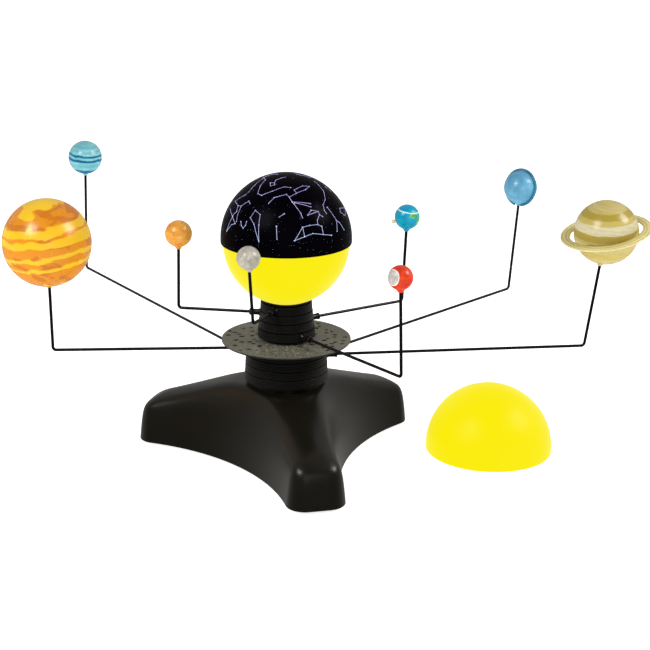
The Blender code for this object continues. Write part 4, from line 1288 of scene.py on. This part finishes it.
def make_pads(skin):
    for number in (1, 2, 3):
        low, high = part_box(f"foot_pad_{number}")
        radius, thick = (high.x - low.x) / 2, high.z - low.z
        name = f"rubber_foot_{number}"
        profile = rounded([(0.0, thick), (radius, thick), (radius, 0.0), (0.0, 0.0)], 0.35 * MM)
        mesh = turned_mesh(name, profile, 48)
        place = Matrix.Translation(((low.x + high.x) / 2, (low.y + high.y) / 2, low.z))
        add_piece(name, mesh, skin, "base", "pad_rubber", f"foot_pad_{number}", matrix=place)


def repaint(finishes):
    """Every CAD node that stays in view gets its procedural finish."""
    for node, obj in NODES.items():
        if obj.hide_render:
            continue
        obj.data.materials.clear()
        obj.data.materials.append(finishes[SLOTS[node]])


# ---------------------------------------------------------------- stage

STAGE_SIZE = 14.0
STAGE_GAP = 0.2 * MM
LIGHT_TARGET = Vector((0.0, 0.0, 0.12))
SOFTBOXES = (
    ("softbox_left", (-1.10, -0.95, 1.40), 0.80, 22.0),
    ("softbox_right", (1.60, -0.15, 1.40), 0.80, 22.0),
    ("softbox_front", (0.20, -1.90, 0.75), 1.10, 3.0),
)


def make_floor():
    shape = bmesh.new()
    bmesh.ops.create_grid(shape, x_segments=1, y_segments=1, size=STAGE_SIZE)
    floor = bpy.data.objects.new("floor", mesh_from(shape, "floor", None))
    floor.location.z = FLOOR_Z - STAGE_GAP
    link(floor)
    skin = Skin("floor_white", (0.9, 0.9, 0.9), 0.9, specular=0.0)
    skin.glow((1.0, 1.0, 1.0), 0.84)
    floor.data.materials.append(skin.material)
    floor.visible_glossy = False


def make_sky():
    """Soft studio light that comes more from behind the object than from in front."""
    world = bpy.data.worlds.new("studio")
    world.use_nodes = True
    tree = world.node_tree
    split = tree.nodes.new("ShaderNodeSeparateXYZ")
    tree.links.new(tree.nodes.new("ShaderNodeTexCoord").outputs["Generated"], split.inputs[0])
    lit = tree.nodes.new("ShaderNodeMapRange")
    for name, value in (("From Min", -0.35), ("From Max", 0.55), ("To Min", 0.06), ("To Max", 0.44)):
        lit.inputs[name].default_value = value
    tree.links.new(split.outputs["Y"], lit.inputs["Value"])
    tree.links.new(lit.outputs[0], tree.nodes["Background"].inputs["Strength"])
    tree.nodes["Background"].inputs["Color"].default_value = (1.0, 0.97, 0.93, 1.0)
    bpy.context.scene.world = world
    bpy.context.scene.view_settings.view_transform = "Standard"


def make_lights():
    for name, place, size, power in SOFTBOXES:
        light = bpy.data.lights.new(name, "AREA")
        light.shape = "SQUARE"
        light.size = size
        light.energy = power
        lamp = bpy.data.objects.new(name, light)
        aim = (Vector(place) - LIGHT_TARGET).to_track_quat("Z", "Y").to_matrix().to_4x4()
        lamp.matrix_world = Matrix.Translation(place) @ aim
        link(lamp)


def make_camera():
    data = bpy.data.cameras.new("camera")
    data.lens = CAMERA_LENS
    data.clip_start = 0.05
    camera = bpy.data.objects.new("camera", data)
    aim = Matrix.Rotation(-CAMERA_RIGHT, 4, "Z") @ Matrix.Rotation(pi / 2 - CAMERA_DOWN, 4, "X")
    camera.matrix_world = Matrix.Translation(CAMERA_PLACE) @ aim @ Matrix.Rotation(CAMERA_ROLL, 4, "Z")
    link(camera)
    bpy.context.scene.camera = camera


def main():
    make_camera()
    make_floor()
    make_sky()
    make_lights()
    base_black = moulded("base_black", srgb(21, 18, 12), 0.30)
    column_black = turned_plastic("column_black", srgb(12, 11, 9), 0.40)
    inner_black = moulded("inner_black", srgb(44, 44, 48), 0.5)
    wire, pad = painted_wire(), rubber()
    make_base(base_black)
    make_column(column_black, moulded("boss_black", srgb(16, 15, 15), 0.28))
    make_disc(asteroid_grey())
    make_lamp_cup(column_black)
    paints = (
        mercury_paint, venus_paint, earth_paint, mars_paint, jupiter_paint, saturn_paint, uranus_paint,
        neptune_paint,
    )
    for world, paint in zip(WORLDS, paints):
        make_arm(world, wire)
        centre, radius, upward = make_globe(world, paint())
        if world == "saturn":
            make_saturn_ring(centre, radius, saturn_ring_paint())
        if world == "uranus":
            make_uranus_ring(centre, radius, upward, uranus_ring_paint())
        if world == "earth":
            make_moon(centre, radius, moon_paint())
    make_domes(star_black(), sun_glow())
    make_stars(star_light())
    make_switch(inner_black)
    make_pads(pad)
    repaint({
        "base_plastic": base_black, "column_plastic": column_black, "inner_plastic": inner_black,
        "pad_rubber": pad, "gear_plastic": acetal(), "screw_steel": plated_steel(),
        "battery_can": battery_sleeve(), "circuit_board": circuit_green(), "lamp_clear": lamp_clear(),
    })


main()
